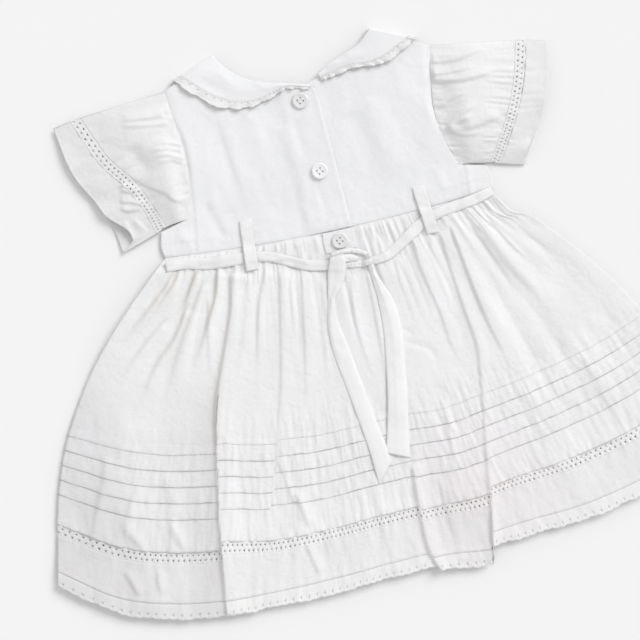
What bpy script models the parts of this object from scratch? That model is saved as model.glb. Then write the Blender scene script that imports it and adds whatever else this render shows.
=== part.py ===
"""A toddler's white cotton dress, lying flat on its front so that the back shows.

The origin is on the resting surface, under the skirt's front, ORIGIN_BELOW_WAIST down from the
waist seam. +X is the wearer's right, +Y runs up to the neck and +Z is up, away from the surface.
All the tables are in millimetres, measured from the middle of the waist; MM brings them to metres.
"""

import math

import bmesh
import bpy

MM = 0.001

# Cloth and the way that it lies in layers.
WALL = 1.0
SEAM = 0.3
LAYER = WALL + SEAM
BACK_LAYER = LAYER
TOP_LAYER = 2 * LAYER
CLEAR = 0.4  # extra room over a faceted panel, so that chords don't touch

# Driving sizes of the garment.
WAIST_HALF = 142.0
WAIST_DIP = 2.5
WAIST_RISE = 7.0
BODICE_HEIGHT = 145.0
SHOULDER_LEAN = 0.036
SKIRT_LENGTH = 302.0
BOW_LIFT = 0.35  # a rib that swings out also rides up by this share of its bow
LAP_START = -24.0
LAP_RAMP = 10.0
PLACKET = {"left": -8.0, "right": 19.2, "bottom": -20.5}
BUTTON_RADIUS = 7.0
BUTTON_THICKNESS = 2.4
BUTTON_HOLE_RADIUS = 0.9
BUTTON_HOLE_SPACING = 1.9
ORIGIN_BELOW_WAIST = 70.0

# The collar's front halves lie under the bodice, so all above them is one layer higher there.
YOKE_RAMP_START = 24.0
YOKE_RAMP_LENGTH = 42.0

# Distances down the skirt from the waist seam: each band's two edges.
SKIRT_END = 248.0
LACE_START = 248.3
LACE_END = 257.3
HEM_START = 257.6
HEM_END = 289.7
EDGING_START = 290.0
EDGING_SCALLOP = 302.0

# Pin tucks: the fold edge of each, its step and how far down it the step falls.
TUCK_FIRST = 168.0
TUCK_PITCH = 13.3
TUCK_COUNT = 5
TUCK_STEP = 0.9
TUCK_FALL = 0.9

# The skirt's ribs, from the wearer's left side to the right side.
# share: place across the waist, hem_x and hem_y: where the rib ends, bow: how far it swings out.
SKIRT_RIBS = (
    {"share": -1.00, "hem_x": -288.0, "hem_y": -248.0, "bow": -31.0},
    {"share": -0.86, "hem_x": -245.0, "hem_y": -280.0, "bow": -15.0},
    {"share": -0.70, "hem_x": -198.0, "hem_y": -296.0, "bow": -7.0},
    {"share": -0.55, "hem_x": -152.0, "hem_y": -303.0, "bow": -3.0},
    {"share": -0.40, "hem_x": -112.0, "hem_y": -304.0, "bow": 0.0},
    {"share": -0.20, "hem_x": -55.0, "hem_y": -303.0, "bow": 0.0},
    {"share": 0.00, "hem_x": -5.0, "hem_y": -300.0, "bow": 0.0},
    {"share": 0.14, "hem_x": 36.0, "hem_y": -299.0, "bow": 0.0},
    {"share": 0.28, "hem_x": 78.0, "hem_y": -302.0, "bow": 0.0},
    {"share": 0.45, "hem_x": 124.0, "hem_y": -294.0, "bow": 1.0},
    {"share": 0.65, "hem_x": 181.0, "hem_y": -283.0, "bow": 5.0},
    {"share": 0.85, "hem_x": 242.0, "hem_y": -266.0, "bow": 15.0},
    {"share": 1.00, "hem_x": 288.0, "hem_y": -243.0, "bow": 23.0},
)

# The largest folds of the skirt's back, as ridges from near the waist to their lower ends.
FOLD_RISE = 8.0  # how fast a ridge grows above its upper end, and below how fast it dies away
FOLD_FALL = 4.0
FOLD_TAIL = 1.15
SKIRT_FOLDS = (
    {"x": -88, "y": -26, "to_x": -146, "to_y": -300, "height": 4.6, "width": 9},
    {"x": -66, "y": -24, "to_x": -101, "to_y": -150, "height": 3.2, "width": 8},
    {"x": -42, "y": -26, "to_x": -62, "to_y": -190, "height": 2.8, "width": 8},
    {"x": -116, "y": -20, "to_x": -182, "to_y": -120, "height": 3.4, "width": 10},
    {"x": -132, "y": -12, "to_x": -205, "to_y": -96, "height": 2.8, "width": 9},
    {"x": 58, "y": -40, "to_x": 50, "to_y": -140, "height": 2.6, "width": 9},
    {"x": 84, "y": -24, "to_x": 104, "to_y": -160, "height": 3.6, "width": 9},
    {"x": 108, "y": -12, "to_x": 146, "to_y": -168, "height": 4.2, "width": 10},
    {"x": 128, "y": -8, "to_x": 196, "to_y": -104, "height": 3.2, "width": 10},
    {"x": 52, "y": -236, "to_x": 82, "to_y": -302, "height": 4.0, "width": 12},
    {"x": -206, "y": -176, "to_x": -238, "to_y": -278, "height": 2.8, "width": 12},
    {"x": 190, "y": -150, "to_x": 226, "to_y": -270, "height": 3.2, "width": 13},
)

# The bodice's outline on the wearer's right; the left half mirrors it.
SIDE_EDGE = ((142.0, 4.5), (143.5, 14.0), (141.0, 26.0))
UNDERARM = ((141.0, 26.0), (118.0, 32.0))
ARMHOLE = ((118.0, 32.0), (110.0, 57.0), (108.0, 85.0), (111.0, 112.0), (114.5, 139.0))
SHOULDER = ((114.5, 139.0), (67.5, 158.5))
FRONT_NECK = ((67.5, 158.5), (62.0, 130.0), (44.0, 106.0), (22.0, 95.0), (0.0, 92.0))
BACK_NECKS = {
    "left": ((67.5, 158.5), (55.0, 146.0), (40.0, 135.5), (11.5, 127.0), (-4.0, 123.0), (-13.5, 119.5)),
    "right": ((67.5, 158.5), (56.0, 149.5), (43.0, 143.5), (29.0, 137.5), (15.0, 128.0), (-9.0, 120.0)),
}
LAP_EDGE = ((19.0, -2.1), (13.5, 119.5))
UNDERLAP_EDGE = ((-8.0, -2.2), (-9.0, 120.0))

# Rows of each run of the bodice's side, so that a sleeve meets it point for point.
SIDE_RUNS = ((SIDE_EDGE, 3), (UNDERARM, 2), (ARMHOLE, 8))
BODICE_ROWS = 13

# Roll line and edge of each collar half, on the back and then on the front, outwards positive.
COLLARS = {
    "left": {
        "back_roll": (
            (-9.0, 123.0), (11.0, 127.8), (26.0, 131.4), (41.0, 136.4), (56.0, 147.0), (66.0, 160.0),
        ),
        "back_edge": (
            (-9.0, 120.6), (11.0, 124.8), (23.0, 121.8), (45.0, 118.0), (70.0, 125.0), (97.0, 147.5),
        ),
        "lace": (2.0, 3.5, 7.0, 7.0),
    },
    "right": {
        "back_roll": ((17.0, 130.6), (28.0, 137.6), (42.0, 143.8), (56.0, 150.5), (66.0, 160.0)),
        "back_edge": (
            (18.0, 127.6), (29.0, 130.5), (44.0, 134.0), (62.0, 133.6), (76.0, 136.6), (97.0, 147.5),
        ),
        "lace": (3.5, 6.0, 7.0, 7.0),
    },
}
COLLAR_FRONT_ROLL = ((66.0, 160.0), (61.0, 132.0), (43.0, 108.0), (21.0, 97.5), (3.0, 95.0))
COLLAR_FRONT_EDGE = ((97.0, 147.5), (88.0, 121.0), (66.0, 96.0), (38.0, 78.0), (6.0, 90.0))
COLLAR_STAND = 2.4
COLLAR_TURN = 0.08  # share of the collar's length, each way, that goes round the shoulder
COLLAR_TURN_REACH = 2.2
COLLAR_OUTWARD = (0.4, 0.92)
TUBE_COLUMNS = 8  # across each side of a flattened sleeve, two to a stretch of the armhole

# Each sleeve lying flat: the cuff end of the puff, of its lace and of its frill, outwards positive.
SLEEVES = {
    "left": {
        "cuff": ((136.0, 29.5), (142.0, 47.0), (154.0, 71.0), (172.0, 95.0), (188.0, 130.0)),
        "lace": ((145.5, 25.5), (150.5, 43.5), (162.0, 66.0), (180.5, 90.5), (197.0, 128.5)),
        "frill": ((176.0, 15.5), (180.0, 36.0), (189.0, 58.0), (204.0, 86.0), (212.0, 125.0)),
    },
    "right": {
        "cuff": ((144.5, 28.0), (156.0, 47.0), (167.0, 68.0), (178.0, 96.0), (187.0, 130.0)),
        "lace": ((153.0, 25.0), (164.0, 44.0), (175.5, 65.5), (187.0, 94.0), (196.0, 128.5)),
        "frill": ((173.0, 20.0), (184.0, 39.0), (196.5, 63.0), (207.0, 91.0), (212.0, 125.0)),
    },
}

# Sash runs and tails: centre line, width and height over the skirt.
RIBBON_STEP = 0.02
SASH_LEFT = (
    {"x": -142.5, "y": -3.0, "width": 9.5, "over": 1.6},
    {"x": -126.0, "y": -3.5, "width": 9.5, "over": 1.6},
    {"x": -108.0, "y": -7.5, "width": 10.0, "over": 1.6},
    {"x": -90.0, "y": -8.5, "width": 10.5, "over": 1.6},
    {"x": -72.0, "y": -9.5, "width": 10.0, "over": 1.6},
    {"x": -54.0, "y": -13.0, "width": 9.0, "over": 1.8},
    {"x": -38.0, "y": -20.5, "width": 9.0, "over": 2.0},
    {"x": -24.0, "y": -26.5, "width": 9.5, "over": 2.2},
    {"x": -13.0, "y": -29.5, "width": 9.0, "over": 2.0},
)
SASH_RIGHT = (
    {"x": 29.5, "y": -34.0, "width": 7.0, "over": 2.0},
    {"x": 41.0, "y": -32.5, "width": 8.0, "over": 2.2},
    {"x": 55.0, "y": -25.5, "width": 9.0, "over": 2.0},
    {"x": 69.0, "y": -16.5, "width": 10.0, "over": 1.6},
    {"x": 83.0, "y": -9.0, "width": 9.5, "over": 1.6},
    {"x": 97.0, "y": -5.0, "width": 9.0, "over": 1.6},
    {"x": 112.0, "y": -3.0, "width": 9.0, "over": 1.6},
    {"x": 127.0, "y": -0.5, "width": 9.0, "over": 1.6},
    {"x": 141.5, "y": 3.0, "width": 8.0, "over": 1.6},
)
TAIL_LEFT = (
    {"x": -3.0, "y": -39.5, "width": 15.0, "over": 2.2},
    {"x": -7.5, "y": -50.0, "width": 10.0, "over": 1.6},
    {"x": -11.5, "y": -60.0, "width": 6.0, "over": 2.0},
    {"x": -14.0, "y": -78.0, "width": 9.5, "over": 1.8},
    {"x": -12.5, "y": -100.0, "width": 14.0, "over": 1.8},
    {"x": -8.5, "y": -127.0, "width": 14.5, "over": 1.8},
    {"x": -4.0, "y": -158.0, "width": 14.0, "over": 1.6},
    {"x": 0.5, "y": -188.0, "width": 15.0, "over": 1.6},
    {"x": 3.0, "y": -212.0, "width": 17.0, "over": 1.6},
)
TAIL_RIGHT = (
    {"x": 26.5, "y": -44.0, "width": 4.0, "over": 2.2},
    {"x": 31.0, "y": -58.0, "width": 9.0, "over": 1.6},
    {"x": 34.0, "y": -74.0, "width": 15.0, "over": 1.8},
    {"x": 34.0, "y": -98.0, "width": 16.5, "over": 1.8},
    {"x": 30.5, "y": -124.0, "width": 16.5, "over": 1.8},
    {"x": 26.5, "y": -150.0, "width": 17.0, "over": 2.6},
    {"x": 21.5, "y": -176.0, "width": 18.5, "over": 3.4},
    {"x": 16.5, "y": -200.0, "width": 21.0, "over": 3.4},
)
KNOT = {"x": 8.6, "y": -29.5, "half_x": 18.0, "half_y": 7.6, "half_z": 4.0}

# Belt loops: sewn to the bodice at the top and to the skirt at the bottom, over the sash.
LOOP_WIDTH = 10.5
LOOPS = {
    "left": ((-69.0, 22.0), (-71.5, -20.5)),
    "right": ((80.2, 20.0), (84.6, -22.5)),
}
LOOP_RISE = 3.8
LOOP_CLEAR = 0.7

BUTTONS = {
    "top": (-2.1, 111.0),
    "middle": (1.6, 49.4),
    "bottom": (6.0, -11.8),
}

COTTON = (0.86, 0.86, 0.85)
BODICE_WHITE = (0.87, 0.87, 0.89)
LACE_WHITE = (0.84, 0.83, 0.80)
SHADE_WHITE = (0.82, 0.81, 0.80)
PEARL = (0.80, 0.79, 0.81)


def clear_scene():
    """Remove whatever the scene held."""
    for scene_object in list(bpy.data.objects):
        bpy.data.objects.remove(scene_object, do_unlink=True)


def finish(name, colour, roughness):
    """A plain material for one sub-part."""
    material = bpy.data.materials.new(name + "_finish")
    material.use_nodes = True
    shader = material.node_tree.nodes["Principled BSDF"]
    shader.inputs["Base Color"].default_value = (*colour, 1.0)
    shader.inputs["Roughness"].default_value = roughness
    shader.inputs["Metallic"].default_value = 0.0
    return material


def blend(start, end, share):
    """A value between two others."""
    return start + (end - start) * share


def soft_step(value):
    """0 below 0, 1 above 1 and a smooth rise between."""
    share = min(max(value, 0.0), 1.0)
    return share * share * (3.0 - 2.0 * share)


def along(points, share):
    """The point at an even share of an outline's stretches."""
    place = min(max(share, 0.0), 1.0) * (len(points) - 1)
    index = min(int(place), len(points) - 2)
    here, there = points[index], points[index + 1]
    part = place - index
    return (blend(here[0], there[0], part), blend(here[1], there[1], part))


def row_at(rows, share, column):
    """A named column of a table, read at an even share of its rows."""
    place = min(max(share, 0.0), 1.0) * (len(rows) - 1)
    index = min(int(place), len(rows) - 2)
    return blend(rows[index][column], rows[index + 1][column], place - index)


def lean(x, y):
    """The bodice leans a little to the wearer's right, more towards the shoulders."""
    return (x, y - SHOULDER_LEAN * x * y / BODICE_HEIGHT)


def waist_y(x):
    """The waist seam's shallow curve."""
    return WAIST_RISE * (x / WAIST_HALF) ** 2 - WAIST_DIP


def yoke_lift(y):
    """How far the collar's front halves lift the layers above them."""
    return LAYER * soft_step((y - YOKE_RAMP_START) / YOKE_RAMP_LENGTH)


def rib_value(share, column):
    """A column of the skirt's ribs at a share of the waist."""
    for here, there in zip(SKIRT_RIBS, SKIRT_RIBS[1:]):
        if share <= there["share"]:
            part = (share - here["share"]) / (there["share"] - here["share"])
            return blend(here[column], there[column], part)
    return SKIRT_RIBS[-1][column]


def skirt_point(share, down):
    """A place on the skirt: share of the half waist, and distance down from the seam."""
    part = down / SKIRT_LENGTH
    x = WAIST_HALF * share
    y = waist_y(x)
    swing = math.sin(math.pi * part)
    x = blend(x, rib_value(share, "hem_x"), part) + rib_value(share, "bow") * swing
    y = blend(y, rib_value(share, "hem_y"), part) + BOW_LIFT * abs(rib_value(share, "bow")) * swing
    return (x, y)


def fold_height(x, y):
    """Height of the skirt's largest folds over a place."""
    height = 0.0
    for fold in SKIRT_FOLDS:
        run_x = fold["to_x"] - fold["x"]
        run_y = fold["to_y"] - fold["y"]
        length = math.hypot(run_x, run_y)
        part = ((x - fold["x"]) * run_x + (y - fold["y"]) * run_y) / length ** 2
        aside = ((x - fold["x"]) * run_y - (y - fold["y"]) * run_x) / length
        fade = soft_step(1.0 + part * FOLD_RISE) * soft_step((FOLD_TAIL - part) * FOLD_FALL)
        height += fold["height"] * fade * math.exp(-((aside / fold["width"]) ** 2))
    return height


def skirt_top(x, y):
    """The upper face of the skirt's back, without its tucks."""
    return BACK_LAYER + WALL + fold_height(x, y)


def piece(name, colour, columns, rows, under, over, roughness=0.85):
    """One closed wall of cloth between an under and an over surface of (across, along)."""
    shape = bmesh.new()
    bmesh.ops.create_grid(shape, x_segments=columns, y_segments=rows, size=0.5)
    raised = bmesh.ops.extrude_face_region(shape, geom=shape.faces[:])
    upper = [item for item in raised["geom"] if isinstance(item, bmesh.types.BMVert)]
    top = set(upper)
    for vertex in shape.verts:
        surface = over if vertex in top else under
        x, y, z = surface(vertex.co.x + 0.5, vertex.co.y + 0.5)
        vertex.co = (x * MM, (y + ORIGIN_BELOW_WAIST) * MM, z * MM)
    return keep(name, colour, roughness, shape)


def keep(name, colour, roughness, shape):
    """Turn a finished bmesh into a named object with its own material."""
    bmesh.ops.recalc_face_normals(shape, faces=shape.faces[:])
    mesh = bpy.data.meshes.new(name)
    shape.to_mesh(mesh)
    shape.free()
    mesh.shade_smooth()
    mesh.set_sharp_from_angle(angle=math.radians(40.0))
    mesh.materials.append(finish(name, colour, roughness))
    made = bpy.data.objects.new(name, mesh)
    bpy.context.scene.collection.objects.link(made)
    return made


def patch(bottom, top, left, right):
    """A surface stretched between four edges, each a function of a share."""

    def point(across, up):
        low = bottom(across)
        high = top(across)
        start = left(up)
        end = right(up)
        corners = (bottom(0.0), bottom(1.0), top(0.0), top(1.0))
        result = []
        for axis in (0, 1):
            ruled = blend(low[axis], high[axis], up) + blend(start[axis], end[axis], across)
            lower = blend(corners[0][axis], corners[1][axis], across)
            higher = blend(corners[2][axis], corners[3][axis], across)
            result.append(ruled - blend(lower, higher, up))
        return tuple(result)

    return point


def joined(runs, side=1):
    """An edge made of outlines that follow each other, each with its own count of rows."""
    total = sum(rows for _, rows in runs)

    def edge(share):
        place = share * total
        for points, rows in runs:
            if place <= rows + 1e-6:
                break
            place -= rows
        x, y = along(points, place / rows)
        return (side * x, y)

    return edge


def backwards(points):
    """An outline followed the other way."""
    return tuple(reversed(points))


def waist_edge(start, end):
    """The bodice's lower edge, just above the waist seam."""

    def edge(share):
        x = blend(start, end, share)
        return (x, waist_y(x) + SEAM)

    return edge


def bodice_surface(outline, layer, lift):
    """A bodice panel's under or over surface, leaning with the dress."""

    def place(across, up):
        x, y = outline(across, up)
        return (*lean(x, y), layer + yoke_lift(y) + lift(x))

    return place


def no_lift(_x):
    """The height of a panel that laps over nothing."""
    return 0.0


def lap_lift(x):
    """How far the left back rises to lap over the right one."""
    return LAYER * soft_step((x - LAP_START) / LAP_RAMP)


def build_bodice_front():
    """The bodice front, cut whole, lying on the surface."""
    half_top = ((SHOULDER, 3), (FRONT_NECK, 5))
    left_top = joined(half_top, side=-1)
    right_top = joined(half_top)
    outline = patch(
        bottom=waist_edge(-WAIST_HALF, WAIST_HALF),
        top=lambda share: left_top(2.0 * share) if share < 0.5 else right_top(2.0 - 2.0 * share),
        left=joined(SIDE_RUNS, side=-1),
        right=joined(SIDE_RUNS),
    )
    under = bodice_surface(outline, 0.0, no_lift)
    over = bodice_surface(outline, WALL, no_lift)
    piece("bodice_front", BODICE_WHITE, 16, BODICE_ROWS, under, over)


def build_bodice_backs():
    """The two backs; the left one laps over the right one along the buttons."""
    shoulder_columns = 5
    neck_columns = 9
    columns = shoulder_columns + neck_columns
    left = patch(
        bottom=waist_edge(-WAIST_HALF, LAP_EDGE[0][0]),
        top=joined(((SHOULDER, shoulder_columns), (BACK_NECKS["left"], neck_columns)), side=-1),
        left=joined(SIDE_RUNS, side=-1),
        right=lambda share: along(LAP_EDGE, share),
    )
    right_top = ((backwards(BACK_NECKS["right"]), neck_columns), (backwards(SHOULDER), shoulder_columns))
    right = patch(
        bottom=waist_edge(UNDERLAP_EDGE[0][0], WAIST_HALF),
        top=joined(right_top),
        left=lambda share: along(UNDERLAP_EDGE, share),
        right=joined(SIDE_RUNS),
    )
    for name, outline, lift in (("left", left, lap_lift), ("right", right, no_lift)):
        under = bodice_surface(outline, BACK_LAYER, lift)
        over = bodice_surface(outline, BACK_LAYER + WALL, lift)
        piece("bodice_back_" + name, BODICE_WHITE, columns, BODICE_ROWS, under, over)


def build_placket():
    """The lap carried on below the waist seam, under the lowest button."""
    def surface(raise_by):
        def place(across, up):
            x = blend(PLACKET["left"], PLACKET["right"], across)
            y = blend(PLACKET["bottom"], waist_y(x) - SEAM, up)
            return (x, y, skirt_top(x, y) + SEAM + raise_by)

        return place

    piece("placket_lap", BODICE_WHITE, 3, 3, surface(0.0), surface(WALL))


def collar_line(back, front, share):
    """A collar line that runs along the back, over the shoulder and along the front."""
    if share < 0.5 - COLLAR_TURN:
        return along(back, share / (0.5 - COLLAR_TURN))
    if share > 0.5 + COLLAR_TURN:
        return along(front, (share - 0.5 - COLLAR_TURN) / (0.5 - COLLAR_TURN))
    return back[-1]


def collar_base(side, x):
    """Height of what a collar half lies on at the back."""
    lap = lap_lift(-x) if side < 0 else 0.0
    return TOP_LAYER + LAYER + lap + SEAM + CLEAR


def collar_surface(label, band, offset):
    """A band of a collar half: band gives its two edges in millimetres past the roll or the edge."""
    table = COLLARS[label]
    side = -1 if label == "left" else 1

    def place(share, across):
        roll = collar_line(table["back_roll"], COLLAR_FRONT_ROLL, share)
        edge = collar_line(table["back_edge"], COLLAR_FRONT_EDGE, share)
        width = math.hypot(edge[0] - roll[0], edge[1] - roll[1])
        start, end = band(share, width)
        reach = blend(start, end, across) / width
        x = blend(roll[0], edge[0], reach)
        y = blend(roll[1], edge[1], reach)
        stand = COLLAR_STAND * soft_step(reach) * soft_step(share * 6.0)
        top = collar_base(side, x) + stand
        if share < 0.5 - COLLAR_TURN:
            height = top + WALL / 2 + offset
        elif share > 0.5 + COLLAR_TURN:
            height = WALL / 2 - offset
        else:
            angle = math.pi * (share - 0.5 + COLLAR_TURN) / (2 * COLLAR_TURN)
            height = (top + WALL) / 2 + (top / 2 + offset) * math.cos(angle)
            bulge = (COLLAR_TURN_REACH + offset) * math.sin(angle)
            x += COLLAR_OUTWARD[0] * bulge
            y += COLLAR_OUTWARD[1] * bulge
        return (*lean(side * x, y), height)

    return place


def collar_cloth(_share, width):
    """The collar's own cloth, from the roll line to the lace's seam."""
    return (0.0, width - SEAM)


def collar_lace(label):
    """The lace edging, narrow near the opening."""
    depths = tuple((depth, 0.0) for depth in COLLARS[label]["lace"])

    def band(share, width):
        depth = along(depths, share / (0.5 - COLLAR_TURN))[0]
        return (width, width + depth)

    return band


def build_collars():
    """Both collar halves and their frilled lace, folded over the shoulder seams."""
    for label in COLLARS:
        bands = (
            ("collar_", collar_cloth, BODICE_WHITE, 2, 0.85),
            ("collar_lace_", collar_lace(label), LACE_WHITE, 1, 0.95),
        )
        for name, band, colour, rows, roughness in bands:
            under = collar_surface(label, band, -WALL / 2)
            over = collar_surface(label, band, WALL / 2)
            piece(name + label, colour, 25, rows, under, over, roughness)


def sleeve_height(across, top):
    """Height of a flattened tube's upper face across its width."""
    return TOP_LAYER + top * math.sin(math.pi * across)


def flat_tube(name, colour, start, end, rows, top):
    """A tube pressed flat: start and end are its mouths, each from the lower to the upper edge."""

    def plan(across, down):
        here = start(across)
        there = end(across)
        length = math.hypot(there[0] - here[0], there[1] - here[1])
        share = blend(SEAM / length, 1.0, down)
        return (blend(here[0], there[0], share), blend(here[1], there[1], share))

    def width(down):
        low = plan(0.0, down)
        high = plan(1.0, down)
        return math.hypot(high[0] - low[0], high[1] - low[1])

    def surface(inset):
        def place(around, down):
            layer = around * 2.0
            across = layer if layer <= 1.0 else 2.0 - layer
            edge = inset / width(down)
            x, y = plan(blend(edge, 1.0 - edge, across), down)
            height = sleeve_height(across, top)
            at_edge = across < 1e-4 or across > 1.0 - 1e-4
            if at_edge:
                z = height / 2
            elif layer <= 1.0:
                z = height - inset
            else:
                z = inset
            return (x, y, z)

        return place

    outside = surface(0.0)
    inside = surface(WALL)
    shape = bmesh.new()
    bmesh.ops.create_grid(shape, x_segments=2 * TUBE_COLUMNS, y_segments=rows, size=0.5)
    raised = bmesh.ops.extrude_face_region(shape, geom=shape.faces[:])
    upper = [item for item in raised["geom"] if isinstance(item, bmesh.types.BMVert)]
    seam_faces = [face for face in shape.faces if all(abs(abs(v.co.x) - 0.5) < 1e-4 for v in face.verts)]
    bmesh.ops.delete(shape, geom=seam_faces, context="FACES_ONLY")
    top_side = set(upper)
    for vertex in shape.verts:
        chosen = outside if vertex in top_side else inside
        x, y, z = chosen(vertex.co.x + 0.5, vertex.co.y + 0.5)
        x, y = lean(x, y)
        vertex.co = (x * MM, (y + ORIGIN_BELOW_WAIST) * MM, z * MM)
    bmesh.ops.remove_doubles(shape, verts=shape.verts[:], dist=1e-6)
    return keep(name, colour, 0.85, shape)


def build_sleeves():
    """Puff sleeves, their lace insertion and their frills, as tubes pressed flat."""
    for label, ends in SLEEVES.items():
        side = -1 if label == "left" else 1
        armhole = tuple((x + SEAM, y + SEAM) for x, y in ARMHOLE)
        lines = (armhole, ends["cuff"], ends["lace"], ends["frill"])
        edges = [lambda share, line=line: sided(line, share, side) for line in lines]
        flat_tube("sleeve_" + label, COTTON, edges[0], edges[1], 7, 1.8)
        flat_tube("sleeve_lace_" + label, LACE_WHITE, edges[1], edges[2], 1, 1.5)
        flat_tube("sleeve_frill_" + label, COTTON, edges[2], edges[3], 2, 1.8)


def sided(points, share, side):
    """A point of an outline, on the wearer's left or right."""
    x, y = along(points, share)
    return (side * x, y)


def skirt_surface(start, end, layer, raise_by, folded, tucked=False):
    """A band of the skirt between two distances down from the waist seam."""

    def place(across, up):
        share = 2.0 * across - 1.0
        down = tuck_row(up) if tucked else blend(end, start, up)
        x, y = skirt_point(share, down)
        height = layer + raise_by
        if folded:
            height += fold_height(x, y)
        if tucked:
            height += tuck_height(up)
        return (x, y, height)

    return place


def tuck_rows():
    """Each row of the tucked skirt from the hem up: distance down and height of its tuck."""
    rows = [{"down": SKIRT_END, "step": 0.0}]
    for index in reversed(range(TUCK_COUNT)):
        edge = TUCK_FIRST + TUCK_PITCH * index
        rows.append({"down": edge + TUCK_FALL, "step": 0.0})
        rows.append({"down": edge, "step": TUCK_STEP})
    rows.append({"down": TUCK_FIRST - TUCK_PITCH, "step": 0.0})
    plain = 7
    last = TUCK_FIRST - TUCK_PITCH
    for index in range(1, plain + 1):
        rows.append({"down": blend(last, SEAM, index / plain), "step": 0.0})
    return rows


TUCK_ROWS = tuck_rows()


def tuck_row(up):
    """Distance down from the waist of a row of the tucked skirt."""
    return TUCK_ROWS[round(up * (len(TUCK_ROWS) - 1))]["down"]


def tuck_height(up):
    """Height that a tuck adds to a row of the skirt."""
    return TUCK_ROWS[round(up * (len(TUCK_ROWS) - 1))]["step"]


def build_skirt():
    """Front and back of the skirt: tucked panel, lace insertion, hem band and edging."""
    bands = (
        ("skirt", COTTON, SEAM, SKIRT_END, 9, 0.85),
        ("skirt_lace", LACE_WHITE, LACE_START, LACE_END, 1, 0.95),
        ("hem_band", SHADE_WHITE, HEM_START, HEM_END, 2, 0.85),
        ("hem_edging", LACE_WHITE, EDGING_START, EDGING_SCALLOP, 1, 0.95),
    )
    for name, colour, start, end, rows, roughness in bands:
        under = skirt_surface(start, end, 0.0, 0.0, False)
        over = skirt_surface(start, end, 0.0, WALL, False)
        piece(name + "_front", colour, 18, (rows + 1) // 2, under, over, roughness)
        tucked = name == "skirt"
        under = skirt_surface(start, end, BACK_LAYER, 0.0, True, tucked)
        over = skirt_surface(start, end, BACK_LAYER, WALL, True, tucked)
        count = len(TUCK_ROWS) - 1 if tucked else rows
        piece(name + "_back", colour, 34, count, under, over, roughness)


def ribbon(name, rows, columns, lift, slanted_end=0.0):
    """A band of the sash along a table of centre points, lying over the skirt."""

    def surface(raise_by):
        def place(length_share, across):
            x = row_at(rows, length_share, "x")
            y = row_at(rows, length_share, "y")
            before = length_share - RIBBON_STEP
            after = length_share + RIBBON_STEP
            run_x = row_at(rows, after, "x") - row_at(rows, before, "x")
            run_y = row_at(rows, after, "y") - row_at(rows, before, "y")
            length = math.hypot(run_x, run_y)
            aside = (across - 0.5) * row_at(rows, length_share, "width")
            end = slanted_end * (across - 0.5) * soft_step((length_share - 0.8) * 5.0)
            x += -run_y / length * aside + run_x / length * end
            y += run_x / length * aside + run_y / length * end
            over = row_at(rows, length_share, "over")
            return (x, y, lift(x, y) + SEAM + over + raise_by)

        return place

    piece(name, COTTON, columns, 2, surface(0.0), surface(WALL))


def build_sash():
    """Two runs from the side seams, the knot and the two free ends."""
    ribbon("sash_left", SASH_LEFT, 16, skirt_top)
    ribbon("sash_right", SASH_RIGHT, 16, skirt_top)
    ribbon("sash_tail_left", TAIL_LEFT, 16, skirt_top, slanted_end=-16.0)
    ribbon("sash_tail_right", TAIL_RIGHT, 14, skirt_top, slanted_end=4.0)
    build_knot()


def build_knot():
    """The knot, one rounded lump of wound band."""
    shape = bmesh.new()
    bmesh.ops.create_uvsphere(shape, u_segments=14, v_segments=8, radius=1.0)
    centre = skirt_top(KNOT["x"], KNOT["y"]) + KNOT["half_z"] + SEAM + CLEAR
    for vertex in shape.verts:
        x = KNOT["x"] + KNOT["half_x"] * vertex.co.x
        y = KNOT["y"] + KNOT["half_y"] * vertex.co.y
        z = centre + KNOT["half_z"] * vertex.co.z
        vertex.co = (x * MM, (y + ORIGIN_BELOW_WAIST) * MM, z * MM)
    keep("sash_knot", COTTON, 0.85, shape)


def build_loops():
    """Belt loops that hold the sash runs against the dress."""
    for label, (top, bottom) in LOOPS.items():

        def surface(raise_by, top=top, bottom=bottom):
            def place(length_share, across):
                x = blend(top[0], bottom[0], length_share)
                y = blend(top[1], bottom[1], length_share)
                x += (across - 0.5) * LOOP_WIDTH
                x, y = lean(x, y)
                rise = LOOP_RISE * math.sin(math.pi * length_share) ** 0.5
                ground = skirt_top(x, y) if y < 0.0 else TOP_LAYER - SEAM
                return (x, y, ground + SEAM + LOOP_CLEAR + rise + raise_by)

            return place

        piece("belt_loop_" + label, COTTON, 12, 1, surface(0.0), surface(WALL))


def build_buttons():
    """Flat four-hole buttons down the lap."""
    for label, (x, y) in BUTTONS.items():
        x, y = lean(x, y)
        base = TOP_LAYER + LAYER + yoke_lift(y) if y > 0.0 else skirt_top(x, y) + SEAM + LAYER
        shape = bmesh.new()
        bmesh.ops.create_cone(
            shape,
            cap_ends=True,
            segments=24,
            radius1=BUTTON_RADIUS * MM,
            radius2=BUTTON_RADIUS * MM,
            depth=BUTTON_THICKNESS * MM,
        )
        button = keep("button_" + label, PEARL, 0.3, shape)
        button.location = (x * MM, (y + ORIGIN_BELOW_WAIST) * MM, (base + SEAM + BUTTON_THICKNESS / 2) * MM)
        drill = button_drill(label, button.location)
        cut = button.modifiers.new("holes", "BOOLEAN")
        cut.operation = "DIFFERENCE"
        cut.solver = "EXACT"
        cut.object = drill


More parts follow.
